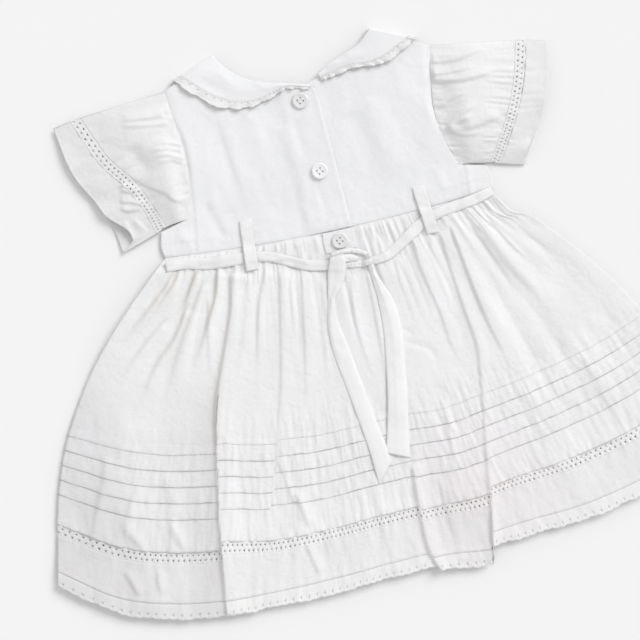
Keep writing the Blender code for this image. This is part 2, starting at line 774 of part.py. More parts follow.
def button_drill(label, place):
    """The cutter of a button's four thread holes."""
    shape = bmesh.new()
    for turn in range(4):
        angle = math.radians(45.0 + 90.0 * turn)
        made = bmesh.ops.create_cone(
            shape,
            cap_ends=True,
            segments=8,
            radius1=BUTTON_HOLE_RADIUS * MM,
            radius2=BUTTON_HOLE_RADIUS * MM,
            depth=3 * BUTTON_THICKNESS * MM,
        )
        shift = (
            BUTTON_HOLE_SPACING * math.cos(angle) * MM,
            BUTTON_HOLE_SPACING * math.sin(angle) * MM,
            0.0,
        )
        bmesh.ops.translate(shape, verts=made["verts"], vec=shift)
    mesh = bpy.data.meshes.new("drill_" + label)
    shape.to_mesh(mesh)
    shape.free()
    drill = bpy.data.objects.new("drill_" + label, mesh)
    bpy.context.scene.collection.objects.link(drill)
    drill.location = place
    drill.hide_render = True
    drill.display_type = "WIRE"
    return drill


clear_scene()
build_bodice_front()
build_bodice_backs()
build_placket()
build_collars()
build_sleeves()
build_skirt()
build_sash()
build_loops()
build_buttons()
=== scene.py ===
import math

import bmesh
import bpy
import numpy as np
from mathutils import Matrix, Vector


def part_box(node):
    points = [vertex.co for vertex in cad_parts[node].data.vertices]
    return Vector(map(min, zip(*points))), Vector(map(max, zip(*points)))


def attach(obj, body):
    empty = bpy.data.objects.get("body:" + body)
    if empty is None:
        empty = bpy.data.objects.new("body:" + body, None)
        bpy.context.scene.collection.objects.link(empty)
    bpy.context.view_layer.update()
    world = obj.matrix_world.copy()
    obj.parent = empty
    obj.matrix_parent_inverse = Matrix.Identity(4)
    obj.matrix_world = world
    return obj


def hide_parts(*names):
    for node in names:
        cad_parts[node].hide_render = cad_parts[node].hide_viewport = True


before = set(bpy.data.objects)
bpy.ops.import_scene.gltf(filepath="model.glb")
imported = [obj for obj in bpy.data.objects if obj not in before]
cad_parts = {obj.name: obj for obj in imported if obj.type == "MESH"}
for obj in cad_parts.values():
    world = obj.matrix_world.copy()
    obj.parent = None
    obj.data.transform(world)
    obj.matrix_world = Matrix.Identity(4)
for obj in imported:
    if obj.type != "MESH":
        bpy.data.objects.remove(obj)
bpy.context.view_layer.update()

# A toddler's white cotton dress, lying flat with its back up. Tables are in millimetres, measured
# from the middle of the waist seam, with x to the wearer's right and y up to the neck.
mm = 0.001
belowWaist = 70.0        # the frame's origin lies this far down from the waist seam

# Pick the seed to get another set of small gathers and crinkles
seeds = {"gathers": 11, "puckers": 23, "sleeves": 43, "lace": 57}


def mix(start, end, share):
    return start + (end - start) * share


def softStep(value):
    share = np.clip(value, 0.0, 1.0)
    return share * share * (3.0 - 2.0 * share)


def bell(distance, width):
    return np.exp(-(distance / width) ** 2)


def smoothTable(knots, values, at):
    # a smooth curve through a table's values, read at any place
    knots = np.asarray(knots, float)
    values = np.asarray(values, float)
    at = np.clip(at, knots[0], knots[-1])
    slopes = np.gradient(values, knots)
    index = np.clip(np.searchsorted(knots, at, side="right") - 1, 0, len(knots) - 2)
    step = knots[index + 1] - knots[index]
    t = (at - knots[index]) / step
    rise = t * t * (3.0 - 2.0 * t)
    return (mix(values[index], values[index + 1], rise)
            + step * slopes[index] * (t ** 3 - 2.0 * t ** 2 + t)
            + step * slopes[index + 1] * (t ** 3 - t ** 2))


def curvePoint(points, share):
    knots = np.linspace(0.0, 1.0, len(points))
    return (smoothTable(knots, [p[0] for p in points], share),
            smoothTable(knots, [p[1] for p in points], share))


def drift(u, v, seed):
    # smooth random values between -1 and 1 over a unit lattice
    size = 96
    table = np.random.default_rng(seed).uniform(-1.0, 1.0, (size, size))
    i, j = np.floor(u).astype(int), np.floor(v).astype(int)
    a, b = softStep(u - i), softStep(v - j)
    low = mix(table[i % size, j % size], table[(i + 1) % size, j % size], a)
    high = mix(table[i % size, (j + 1) % size], table[(i + 1) % size, (j + 1) % size], a)
    return mix(low, high, b)


def nearLine(line, x, y):
    # distance from a smooth line, positive on its right as it runs down, and how far along it
    best = np.full(x.shape, 1e9)
    signed = np.zeros(x.shape)
    place = np.zeros(x.shape)
    run = 0.0
    for here, there in zip(line, line[1:]):
        dx, dy = there - here
        length = math.hypot(dx, dy)
        t = np.clip(((x - here[0]) * dx + (y - here[1]) * dy) / length ** 2, 0.0, 1.0)
        ox, oy = x - here[0] - t * dx, y - here[1] - t * dy
        away = np.hypot(ox, oy)
        closer = away < best
        best = np.where(closer, away, best)
        signed = np.where(closer, np.where(oy * dx - ox * dy > 0, away, -away), signed)
        place = np.where(closer, run + t * length, place)
        run += length
    return signed, place, run


def crease(line, height, left, right, **more):
    # a ridge along a line, or a trough where height is below zero, and its width on the line's left
    # and right; start and end are the lengths it takes to rise and to die out, shade how dark the painted
    # shade in the fold's bottom is
    return {"line": line, "height": height, "left": left, "right": right, **more}


creaseForm = {"start": 8.0, "endShare": 0.6, "reach": 2.6, "samples": 5}


def creaseLift(creases, x, y):
    lift = np.zeros(x.shape)
    for fold in creases:
        samples = creaseForm["samples"] * len(fold["line"])
        line = np.stack(curvePoint(fold["line"], np.linspace(0, 1, samples)), 1)
        reach = creaseForm["reach"] * max(fold["left"], fold["right"])
        low, high = line.min(0) - reach, line.max(0) + reach
        near = (x > low[0]) & (x < high[0]) & (y > low[1]) & (y < high[1])
        if not near.any():
            continue
        signed, place, length = nearLine(line, x[near], y[near])
        width = np.where(signed > 0, fold["right"], fold["left"])
        rising = softStep(place / fold.get("start", creaseForm["start"]))
        falling = softStep((length - place) / fold.get("end", creaseForm["endShare"] * length))
        lift[near] += fold["height"] * rising * falling * bell(signed, width)
    return lift


# The dress's plan, and the heights its layers lie at
waist = {"half": 142.0, "dip": 2.5, "rise": 7.0}
layers = {"frontTop": 0.35, "backTop": 2.2, "step": 1.3}
bodiceHeight = 145.0
shoulderLean = 0.036
skirtLength = 302.0


def waistY(x):
    return waist["rise"] * (x / waist["half"]) ** 2 - waist["dip"]


def lean(x, y):
    return x, y - shoulderLean * x * y / bodiceHeight


def lapLift(x):
    return layers["step"] * softStep((x + 24.0) / 10.0)


def yokeLift(y):
    return layers["step"] * softStep((y - 24.0) / 42.0)


class Term:
    # a socket that can be added, multiplied and so on
    def __init__(self, finish, socket):
        self.finish = finish
        self.socket = socket

    def __add__(self, other):
        return self.finish.maths("ADD", self, other)

    __radd__ = __add__

    def __mul__(self, other):
        return self.finish.maths("MULTIPLY", self, other)

    __rmul__ = __mul__

    def __sub__(self, other):
        return self.finish.maths("SUBTRACT", self, other)

    def __rsub__(self, other):
        return self.finish.maths("SUBTRACT", other, self)

    def __pow__(self, other):
        return self.finish.maths("POWER", self, other)


# what the cloth's colour is multiplied by where each map is full: the first is painted shade, the second a
# pink tint, the third the warm painted shade in the bottom of the deep folds
tints = {"paintedShade": (0.86, 0.853, 0.858), "pink": (1.0, 0.966, 0.972), "fold": (0.7, 0.665, 0.6)}


class Finish:
    def __init__(self, name, roughness, sheen=0.0, coat=0.0):
        self.material = bpy.data.materials.new(name)
        self.material.use_nodes = True
        self.tree = self.material.node_tree
        self.shader = self.tree.nodes["Principled BSDF"]
        self.shader.inputs["Roughness"].default_value = roughness
        self.shader.inputs["Sheen Weight"].default_value = sheen
        self.shader.inputs["Sheen Roughness"].default_value = 0.6
        self.shader.inputs["Coat Weight"].default_value = coat
        self.shader.inputs["Specular IOR Level"].default_value = 0.25
        where = self.add("ShaderNodeTexCoord")
        self.place = where.outputs["Object"]
        self.cloth = self.add("ShaderNodeUVMap", {"uv_map": "cloth"}).outputs["UV"]

    def add(self, kind, settings=None, sockets=None):
        node = self.tree.nodes.new(kind)
        for key, value in (settings or {}).items():
            setattr(node, key, value)
        for key, value in (sockets or {}).items():
            if isinstance(value, Term):
                value = value.socket
            if isinstance(value, bpy.types.NodeSocket):
                self.tree.links.new(value, node.inputs[key])
            else:
                node.inputs[key].default_value = value
        return node

    def maths(self, operation, *values):
        node = self.add("ShaderNodeMath", {"operation": operation}, dict(enumerate(values)))
        return Term(self, node.outputs[0])

    def wave(self, value):
        return self.maths("SINE", value)

    def split(self, vector):
        node = self.add("ShaderNodeSeparateXYZ", None, {0: vector})
        return Term(self, node.outputs[0]), Term(self, node.outputs[1])

    def noise(self, size, detail=2.0, distortion=0.0, vector=None, stretch=None):
        # size of the blotches in metres; stretch makes them longer along an axis
        source = vector or self.place
        if stretch:
            source = self.add("ShaderNodeMapping", None, {"Vector": source, "Scale": stretch}).outputs[0]
        sockets = {"Vector": source, "Scale": 1.0 / size, "Detail": detail, "Distortion": distortion}
        return Term(self, self.add("ShaderNodeTexNoise", None, sockets).outputs[0])

    def blend(self, share, first, second):
        sockets = {0: share, 6: (*first, 1.0), 7: (*second, 1.0)}
        return self.add("ShaderNodeMix", {"data_type": "RGBA"}, sockets).outputs[2]

    def withPaintedShadeAndPink(self, colour):
        # darker with painted shade, pinker, and darker with painted shade in the bottom of a fold, where the
        # cloth's maps say so
        paintedShade, pink = self.split(self.add("ShaderNodeUVMap", {"uv_map": "tone"}).outputs["UV"])
        # deep is painted shade in the bottom of the deep folds
        deep, _plain = self.split(self.add("ShaderNodeUVMap", {"uv_map": "folds"}).outputs["UV"])
        for share, tint in ((paintedShade, tints["paintedShade"]), (pink, tints["pink"]), (deep, tints["fold"])):
            mixed = self.add("ShaderNodeMix", {"data_type": "RGBA", "blend_type": "MULTIPLY"},
                             {0: share, 6: colour, 7: (*tint, 1.0)})
            colour = mixed.outputs[2]
        return colour

    def bump(self, height, depth, after=None):
        sockets = {"Height": height, "Distance": depth, "Strength": 1.0}
        if after:
            sockets["Normal"] = after
        return self.add("ShaderNodeBump", None, sockets).outputs[0]

    def dress(self, colour, normal):
        self.tree.links.new(colour, self.shader.inputs["Base Color"])
        self.tree.links.new(normal, self.shader.inputs["Normal"])
        return self.material


def wovenFinish(name, first, second, blotch, thread, crinkle, crinkleDepth, slub):
    # plain weave with slubs along both threads and the soft crinkle of washed cotton
    look = Finish(name, 0.92, sheen=0.12)
    u, v = look.split(look.cloth)
    turn = 2.0 * math.pi / thread
    weave = look.wave(u * turn) * look.wave(v * turn)
    along = look.noise(0.004, 1.0, vector=look.cloth, stretch=(6.0, 0.35, 1.0))
    across = look.noise(0.004, 1.0, vector=look.cloth, stretch=(0.35, 6.0, 1.0))
    wash = look.noise(blotch, 2.0)
    share = look.maths("MULTIPLY_ADD", wash + (along + across - 1.0) * slub, 2.4, -0.7)
    share.socket.node.use_clamp = True
    soft = look.noise(crinkle, 3.0, 0.6)
    folded = look.bump(soft, crinkleDepth)
    woven = look.bump(weave * 0.5 + (along + across) * 0.6, thread * 0.16, folded)
    return look.dress(look.withPaintedShadeAndPink(look.blend(share, first, second)), woven)


def laceFinish(name, first, second, thread):
    # twisted crochet thread: short slanting strands over a soft lumpy ground
    look = Finish(name, 0.95, sheen=0.1)
    u, v = look.split(look.cloth)
    turn = 2.0 * math.pi / thread
    strands = look.wave((u + v) * turn) * look.wave((u - v) * turn)
    lumps = look.noise(0.0016, 2.0)
    wash = look.noise(0.03, 2.0)
    bumped = look.bump(strands * 0.5 + lumps, thread * 0.1)
    return look.dress(look.withPaintedShadeAndPink(look.blend(wash * 0.6 + lumps * 0.4, first, second)), bumped)


def pearlFinish(name, first, second):
    look = Finish(name, 0.28, coat=0.5)
    cloud = look.noise(0.006, 3.0, 1.2)
    bumped = look.bump(cloud, 0.00012)
    return look.dress(look.blend(look.maths("MULTIPLY_ADD", cloud, 1.8, -0.4), first, second), bumped)


def threadFinish(name, colour, deeper):
    look = Finish(name, 0.85)
    lumps = look.noise(0.0008, 1.0)
    return look.dress(look.blend(lumps, colour, deeper), look.bump(lumps, 0.0001))


finishes = {
    "lawn": wovenFinish("cotton_lawn_finish", (0.858, 0.856, 0.854), (0.902, 0.903, 0.915), 0.05,
                        0.00042, 0.0085, 0.0008, 0.35),
    "bodice": wovenFinish("bodice_cotton_finish", (0.885, 0.888, 0.905), (0.92, 0.92, 0.932), 0.06,
                          0.0004, 0.010, 0.0006, 0.45),
    "hem": wovenFinish("hem_cotton_finish", (0.848, 0.84, 0.845), (0.885, 0.88, 0.888), 0.045,
                       0.00042, 0.008, 0.0008, 0.3),
    "sash": wovenFinish("sash_cotton_finish", (0.845, 0.844, 0.85), (0.881, 0.88, 0.888), 0.03,
                        0.00042, 0.006, 0.0004, 0.3),
    "tails": wovenFinish("sash_tail_cotton_finish", (0.9, 0.898, 0.906), (0.925, 0.923, 0.932), 0.03,
                         0.00042, 0.006, 0.0003, 0.3),
    "lace": laceFinish("cotton_lace_finish", (0.85, 0.845, 0.842), (0.915, 0.912, 0.912), 0.0011),
    "pearl": pearlFinish("pearl_button_finish", (0.86, 0.845, 0.865), (0.93, 0.925, 0.935)),
    # a darker copy of the pearl finish: painted shade on the top and bottom buttons
    "paintedShadePearl": pearlFinish("painted_shade_pearl_button_finish", (0.745, 0.735, 0.735), (0.84, 0.832, 0.832)),
    "thread": threadFinish("sewing_thread_finish", (0.86, 0.85, 0.82), (0.91, 0.905, 0.885)),
}
print("finishes made:", len(finishes))


# Every piece made, by name
made = {}


def keepPiece(name, mesh, finish, nodes=(), wall=0.0):
    mesh.materials.append(finishes[finish])
    mesh.shade_smooth()
    piece = bpy.data.objects.new(name, mesh)
    bpy.context.scene.collection.objects.link(piece)
    if wall:
        shell = piece.modifiers.new("wall", "SOLIDIFY")
        shell.thickness = wall * mm
        shell.offset = -1.0
    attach(piece, "root")
    if nodes:
        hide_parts(*nodes)
    made[name] = piece
    return piece


class TopMap:
    # the highest cloth over each small square of the surface, so that what lies on top clears it
    def __init__(self, square=1.5):
        self.square = square
        self.low = np.array([-330.0, -340.0])
        self.table = np.zeros((440, 380))

    def cells(self, x, y):
        i = np.clip(((x - self.low[0]) / self.square).astype(int), 1, self.table.shape[0] - 2)
        j = np.clip(((y - self.low[1]) / self.square).astype(int), 1, self.table.shape[1] - 2)
        return i, j

    def raiseTo(self, x, y, z):
        np.maximum.at(self.table, self.cells(x.ravel(), y.ravel()), z.ravel())

    def over(self, x, y):
        i, j = self.cells(np.asarray(x, float), np.asarray(y, float))
        around = [self.table[i + a, j + b] for a in (-1, 0, 1) for b in (-1, 0, 1)]
        return np.max(around, axis=0)


tops = TopMap()

# Painted shade: where the cloth is made greyer to stand for shade (deep beside the long left fold, towards
# the left edge, at the left of the hem, on the left sleeve and in the low block at the lower right), and
# where it is a little pink
paintedShadeAndPinkAreas = {
    "fold": ((-88.8, -19), (-107.9, -82), (-123.3, -122), (-131.2, -155), (-142.9, -222), (-153, -304)),
    "foldReach": 24.0, "foldPaintedShade": 0.95,
    "left": -196.0, "leftFade": 44.0, "sidePaintedShade": 0.25, "hemPaintedShade": 0.3, "sleevePaintedShade": 0.34,
    "blockPaintedShade": 0.55, "most": 1.2,
    "block": {"centre": (54.0, -262.0), "size": (26.0, 52.0)},
    "pink": {"centre": (78.0, -232.0), "size": (62.0, 58.0)},
}


def oval(area, x, y):
    (midX, midY), (wide, tall) = area["centre"], area["size"]
    return np.exp(-((x - midX) / wide) ** 2 - ((y - midY) / tall) ** 2)


def paintedShadeAndPinkAt(x, y):
    # painted shade greys the cloth in these places; the second value it gives is the pink tint
    line = np.stack(curvePoint(paintedShadeAndPinkAreas["fold"], np.linspace(0, 1, 20)), 1)
    signed, _place, _length = nearLine(line, x, y)
    beside = bell(np.maximum(-signed, 0) - 3.0, paintedShadeAndPinkAreas["foldReach"]) * softStep((-signed + 1.0) / 2.0)
    low = softStep((-y - 80.0) / 70.0)
    edge = softStep((paintedShadeAndPinkAreas["left"] - x) / paintedShadeAndPinkAreas["leftFade"])
    paintedShade = paintedShadeAndPinkAreas["foldPaintedShade"] * beside * low + edge * softStep((-y - 60.0) / 60.0)
    paintedShade = np.clip(paintedShade + paintedShadeAndPinkAreas["sidePaintedShade"] * softStep((-140.0 - x) / 30.0) * low, 0.0, 1.0)
    hem = paintedShadeAndPinkAreas["hemPaintedShade"] * softStep((-y - 272.0) / 14.0) * softStep((-150.0 - x) / 20.0)
    sleeve = paintedShadeAndPinkAreas["sleevePaintedShade"] * softStep((-118.0 - x) / 14.0) * softStep((y - 24.0) / 10.0)
    block = paintedShadeAndPinkAreas["blockPaintedShade"] * oval(paintedShadeAndPinkAreas["block"], x, y)
    return np.clip(paintedShade + hem + sleeve + block, 0.0, paintedShadeAndPinkAreas["most"]), oval(paintedShadeAndPinkAreas["pink"], x, y)


# how wide the painted shade in the bottom of a deep fold is, and where along the fold it fades in and out
paintedFoldShadeForm = {"aside": 1.6, "width": 1.7, "widens": 0.02, "before": 6.0, "start": 8.0, "endShare": 0.75}


def paintedFoldShade(name, x, y):
    # painted shade in the bottom of the deep folds at the left of the skirt, on the steep side of each
    deep = np.zeros(x.shape)
    if not name.startswith("skirt_back"):
        return deep
    for fold in skirtCreases:
        if "shade" not in fold:
            continue
        line = np.stack(curvePoint(fold["line"], np.linspace(0, 1, 16)), 1)
        signed, place, length = nearLine(line, x, y)
        fade = softStep((place + paintedFoldShadeForm["before"]) / paintedFoldShadeForm["start"])
        fade = fade * softStep((length - place) / (paintedFoldShadeForm["endShare"] * length))
        width = paintedFoldShadeForm["width"] + paintedFoldShadeForm["widens"] * place
        deep = np.maximum(deep, fold["shade"] * fade * bell(signed + paintedFoldShadeForm["aside"], width))
    return deep


def gridMesh(name, columns, rows, place, flat, holes=None, eyelets="edging", weld=False, note=True):
    # a grid of (across, up) from 0 to 1, moved to place(across, up) in millimetres; holes are
    # grid corners whose four faces are cut out, and note puts the piece in the map of what is on top
    shape = bmesh.new()
    bmesh.ops.create_grid(shape, x_segments=columns, y_segments=rows, size=0.5)
    if holes:
        cutHoles(shape, columns, rows, holes, eyelets)
    count = len(shape.verts)
    flatCo = np.array([v.co for v in shape.verts], float).reshape(count, 3)
    across = np.clip(flatCo[:, 0] + 0.5, 0.0, 1.0)
    up = np.clip(flatCo[:, 1] + 0.5, 0.0, 1.0)
    x, y, z = place(across, up)
    if note:
        tops.raiseTo(x, y, z)
    # painted shade and the pink tint, and painted shade in the bottom of the deep folds, go to the finishes
    # in UV maps
    paintedShade, pink = paintedShadeAndPinkAt(x, y)
    deep = paintedFoldShade(name, x, y)
    tone = shape.loops.layers.uv.new("tone")
    folds = shape.loops.layers.uv.new("folds")
    uv = shape.loops.layers.uv.new("cloth")
    for face in shape.faces:
        for loop in face.loops:
            k = loop.vert.index
            loop[uv].uv = (across[k] * flat[0], up[k] * flat[1])
            loop[tone].uv = (paintedShade[k], pink[k])
            loop[folds].uv = (deep[k], 0.0)
    spot = np.stack([x, y + belowWaist, z], 1) * mm
    for vertex, co in zip(shape.verts, spot.tolist()):
        vertex.co = co
    if weld:
        bmesh.ops.remove_doubles(shape, verts=shape.verts[:], dist=1e-6)
    mesh = bpy.data.meshes.new(name)
    shape.to_mesh(mesh)
    shape.free()
    return mesh


# least and most size of an eyelet, as a share of the widest that fits between its neighbours
eyeletSize = {"insertion": (0.15, 0.38), "edging": (0.02, 0.07)}


def cutHoles(shape, columns, rows, holes, eyelets):
    shape.verts.ensure_lookup_table()
    lattice = {}
    for vertex in shape.verts:
        key = (round((vertex.co.x + 0.5) * columns), round((vertex.co.y + 0.5) * rows))
        lattice[key] = vertex
    gone = []
    sizes = np.random.default_rng(seeds["lace"]).uniform(*eyeletSize[eyelets], len(holes))
    for (i, j), size in zip(holes, sizes):
        centre = lattice.get((i, j))
        if centre is None or not (0 < i < columns and 0 < j < rows):
            continue
        for a in (-1, 1):
            for b in (-1, 1):
                corner = lattice[(i + a, j + b)]
                corner.co = centre.co + (corner.co - centre.co) * size
        gone.append(centre)
    bmesh.ops.delete(shape, geom=gone, context="VERTS")
    shape.verts.index_update()


def clothPiece(name, columns, rows, place, finish, slot, nodes, flat, wall=0.35, **more):
    mesh = gridMesh(name + "_cloth", columns, rows, place, flat, **more)
    return keepPiece(name + "_cloth", mesh, finish, nodes, wall)


def lacePiece(name, grid, place, flat, **more):
    clothPiece(name, *grid, place, "lace", "cotton_lace", (name,), flat, **more)


def stitchRow(shape, points, thick=(0.42, 0.3)):
    # one small rounded stitch for each pair of points (from, to), in millimetres
    for start, end in points:
        start, end = Vector(start), Vector(end)
        run = end - start
        turn = run.to_track_quat("X", "Z").to_matrix().to_4x4()
        centre = (start + end) / 2 + Vector((0, belowWaist, 0))
        sizes = Matrix.Diagonal((run.length * mm, thick[0] * mm, thick[1] * mm, 1))
        matrix = Matrix.Translation(centre * mm) @ turn @ sizes
        bmesh.ops.create_icosphere(shape, subdivisions=1, radius=0.5, matrix=matrix)


def stitchesAlong(line, height, step=2.7, share=0.68):
    # stitches along a line of (x, y) at the height of what they sit on
    line = np.asarray(line, float)
    gaps = np.hypot(*np.diff(line, axis=0).T)
    run = np.concatenate([[0.0], np.cumsum(gaps)])
    starts = np.arange(0.0, run[-1] - step, step)
    found = []
    for begin in starts:
        ends = []
        for at in (begin, begin + step * share):
            x, y = np.interp(at, run, line[:, 0]), np.interp(at, run, line[:, 1])
            ends.append((float(x), float(y), float(height(x, y))))
        found.append(tuple(ends))
    return found


def stitchPiece(name, rows):
    shape = bmesh.new()
    for row in rows:
        stitchRow(shape, row)
    mesh = bpy.data.meshes.new(name)
    shape.to_mesh(mesh)
    shape.free()
    return keepPiece(name, mesh, "thread")


# share: place across the half waist, x and y: where that rib of the skirt ends at the hem
skirtRibs = (
    {"share": -1.00, "x": -288, "y": -248, "bow": -31},
    {"share": -0.86, "x": -245, "y": -280, "bow": -15},
    {"share": -0.70, "x": -198, "y": -296, "bow": -7},
    {"share": -0.55, "x": -152, "y": -303, "bow": -3},
    {"share": -0.40, "x": -112, "y": -304, "bow": 0},
    {"share": -0.20, "x": -55, "y": -303, "bow": 0},
    {"share": 0.00, "x": -5, "y": -300, "bow": 0},
    {"share": 0.14, "x": 36, "y": -299, "bow": 0},
    {"share": 0.28, "x": 78, "y": -302, "bow": 0},
    {"share": 0.45, "x": 124, "y": -294, "bow": 1},
    {"share": 0.65, "x": 181, "y": -283, "bow": 5},
    {"share": 0.85, "x": 242, "y": -266, "bow": 15},
    {"share": 1.00, "x": 288, "y": -243, "bow": 23},
)
bowLift = 0.35          # how far a rib's bow lifts it towards the waist

# The folds of the skirt, from the left side to the right
skirtCreases = (
    crease(((-131, -8), (-142, -23), (-168, -46)), 1.9, 1.5, 8, shade=0.6),
    crease(((-138, -12), (-160, -34), (-196, -62)), 1.8, 1.6, 8, shade=0.5),
    crease(((-150, -22), (-167, -37), (-188, -54)), 1.8, 1.5, 6),
    crease(((-152, -48), (-175, -66), (-206, -96)), 1.6, 1.8, 8, shade=0.35),
    crease(((-131, -40), (-148, -65), (-168, -84), (-196, -124)), 2.2, 1.8, 10, shade=0.4),
    crease(((-112, -22), (-126, -44), (-150, -84), (-172, -128)), 2.1, 3, 7, shade=0.35),
    crease(((-118, -14), (-127, -28), (-140, -52)), 1.6, 1.4, 5, start=3, shade=0.75),
    crease(((-100, -15), (-106, -36), (-119, -61), (-140, -98)), 2.8, 1.5, 7, start=4, shade=0.6),
    crease(((-112, -32), (-121, -79), (-126, -112)), 1.5, 1.6, 5),
    crease(((-88.8, -19), (-95.8, -50), (-107.9, -82), (-123.3, -122), (-131.2, -155), (-142.9, -222),
            (-153, -304)), 3.2, 1.8, 15, start=4, end=4, shade=0.4),
    crease(((-126, -150), (-133, -190), (-146, -230)), -1.4, 12, 3),
    crease(((-76, -22), (-82, -52), (-95, -90), (-108, -128)), 1.3, 3, 6),
    crease(((-58.4, -20), (-67.3, -39), (-76.9, -71), (-87.4, -120)), 1.8, 1.4, 7),
    crease(((-48, -24), (-57, -70), (-66.6, -117), (-80.5, -166), (-97, -222)), 1.8, 1.4, 9),
    crease(((-40, -28), (-48, -76), (-57, -118)), 1.0, 3, 4),
    crease(((-30.6, -30), (-41, -95), (-54.6, -165)), 1.5, 1.5, 8),
    crease(((-16, -36), (-22, -90), (-30, -140)), 1.0, 3, 6),
    crease(((9.7, -40), (5.5, -80), (9.2, -120), (15.5, -152)), 1.5, 1.5, 7),
    crease(((23.5, -40), (22, -110), (16, -156)), 1.4, 1.4, 4),
    crease(((50, -30), (49, -60), (52, -90)), 1.1, 3, 6),
    crease(((67, -22), (68.5, -46), (77, -87), (82.5, -123), (97, -158)), 1.6, 1.4, 8),
    crease(((80, -24), (84, -60), (90, -110)), 0.9, 3, 4),
    crease(((91, -20), (93.4, -51), (98, -91), (101.7, -122), (99, -152), (89.7, -220), (78, -304)),
           2.0, 1.4, 8, end=4),
    crease(((100.5, -16), (106, -54), (113.7, -99), (123.2, -136), (130, -166)), 2.7, 1.3, 12),
    crease(((117, -18), (135, -60), (148, -90)), 1.7, 1.4, 8),
    crease(((124, -16), (146, -64), (182, -122)), 1.4, 4, 8),
    crease(((132, -16), (149, -46), (172, -74)), 1.6, 1.5, 8),
    crease(((140, -14), (164, -38), (196, -70)), 1.2, 3, 7),
    crease(((43, -95), (47, -100), (51, -103)), -1.0, 1.5, 2.5, start=3, end=4),
    crease(((42, -107), (52, -112), (62, -119), (66, -142)), -1.1, 1.6, 3, start=5),
    crease(((27, -208), (25, -258), (26.4, -285), (34, -306)), 3.2, 1.5, 10, end=3),
    crease(((90, -226), (84, -268), (76, -306)), 1.1, 8, 2.5, end=3),
    crease(((57, -228), (55, -262), (52, -300)), 1.1, 6, 3, end=4),
    crease(((-202, -176), (-222, -214), (-216, -244)), 2.0, 3, 7),
    crease(((-224, -150), (-240, -190), (-262, -236)), 2.4, 3, 9),
    crease(((-178, -172), (-186, -232), (-196, -292)), 1.5, 4, 9),
    crease(((-64, -176), (-74, -236), (-82, -300)), 1.1, 8, 8),
    crease(((-8, -176), (-6, -236), (-2, -296)), 1.0, 9, 8),
    crease(((132, -164), (142, -212), (150, -286)), 1.0, 4, 10),
    crease(((-225, -208), (-219, -220), (-211, -232)), 2.5, 1.6, 5, start=5, end=6),
    crease(((-186, -216), (-181, -229), (-177, -242)), 2.5, 1.6, 5, start=5, end=6),
    crease(((-231, -247), (-226, -260), (-222, -272)), 2.4, 1.6, 5, start=4, end=6),
    crease(((-202, -252), (-204, -262), (-204, -274)), 2.0, 1.6, 5, start=4, end=6),
    crease(((-75, -212), (-72, -229), (-69, -244)), 1.8, 1.5, 5, start=5, end=6),
    crease(((-75, -257), (-72, -272), (-69, -286)), 1.8, 1.5, 5, start=4, end=6),
    crease(((-84, -180), (-80, -206), (-77, -224)), 1.4, 1.5, 5, start=5, end=6),
    crease(((62, -160), (64, -190), (60, -226)), 1.0, 1.5, 4, start=5),
    crease(((46, -225), (48, -250), (50, -290)), 1.3, 1.5, 5, start=5),
    crease(((186, -146), (206, -210), (224, -272)), 1.4, 3, 12),
)

# Where a fold has slipped, the cloth beside it lies further up (or down) the dress.
slips = (
    {"line": ((-95, -40), (-110, -88), (-127, -138), (-137, -190), (-147, -250), (-151, -296)), "side": 1,
     "up": 8.0, "reach": 34.0, "from": -90.0, "full": -135.0, "end": -240.0, "gone": -296.0},
    {"line": ((-60, -120), (-72, -145), (-80, -166), (-97, -222)), "side": 1,
     "up": 3.0, "reach": 26.0, "from": -120.0, "full": -150.0, "end": -225.0, "gone": -250.0},
    {"line": ((28, -200), (25, -258), (26.4, -285), (34, -310)), "side": 1,
     "up": -3.5, "reach": 30.0, "from": -205.0, "full": -245.0, "end": -400.0, "gone": -420.0},
    {"line": ((99, -150), (90, -220), (84, -262), (76, -312)), "side": 1,
     "up": 10.0, "reach": 60.0, "from": -200.0, "full": -300.0, "end": -400.0, "gone": -420.0},
    {"line": ((99, -150), (90, -220), (84, -262), (76, -312)), "side": -1,
     "up": -4.0, "reach": 30.0, "from": -235.0, "full": -290.0, "end": -400.0, "gone": -420.0},
)
tucks = {"first": 168.0, "pitch": 13.3, "count": 5, "depth": 6.4, "height": 0.62, "flatter": 0.3}
bands = {"skirtEnd": 248.4, "lace": (247.6, 258.0), "hem": (257.2, 290.0), "edging": (289.2, 302.0)}


def skirtPlace(share, down):
    part = down / skirtLength
    knots = [rib["share"] for rib in skirtRibs]
    x = waist["half"] * share
    y = waistY(x)
    swing = np.sin(math.pi * np.clip(part, 0, 1))
    bow = smoothTable(knots, [rib["bow"] for rib in skirtRibs], share)
    x = mix(x, smoothTable(knots, [rib["x"] for rib in skirtRibs], share), part) + bow * swing
    y = mix(y, smoothTable(knots, [rib["y"] for rib in skirtRibs], share), part)
    y = y + bowLift * np.abs(bow) * swing
    y = y - 9.0 * softStep((share - 0.78) / 0.2) * bell(down - 16.0, 14.0)      # under the right waist
    moved = np.zeros(x.shape)
    for slip in slips:
        line = np.stack(curvePoint(slip["line"], np.linspace(0, 1, 24)), 1)
        signed, _place, _length = nearLine(line, x, y)
        aside = signed * slip["side"]
        fade = softStep((slip["from"] - y) / (slip["from"] - slip["full"]))
        fade = fade * softStep((y - slip["gone"]) / (slip["end"] - slip["gone"]))
        beside = softStep((aside + 1.0) / 2.4) * bell(np.maximum(aside, 0), slip["reach"])
        moved += slip["up"] * beside * fade
    return x, y + moved


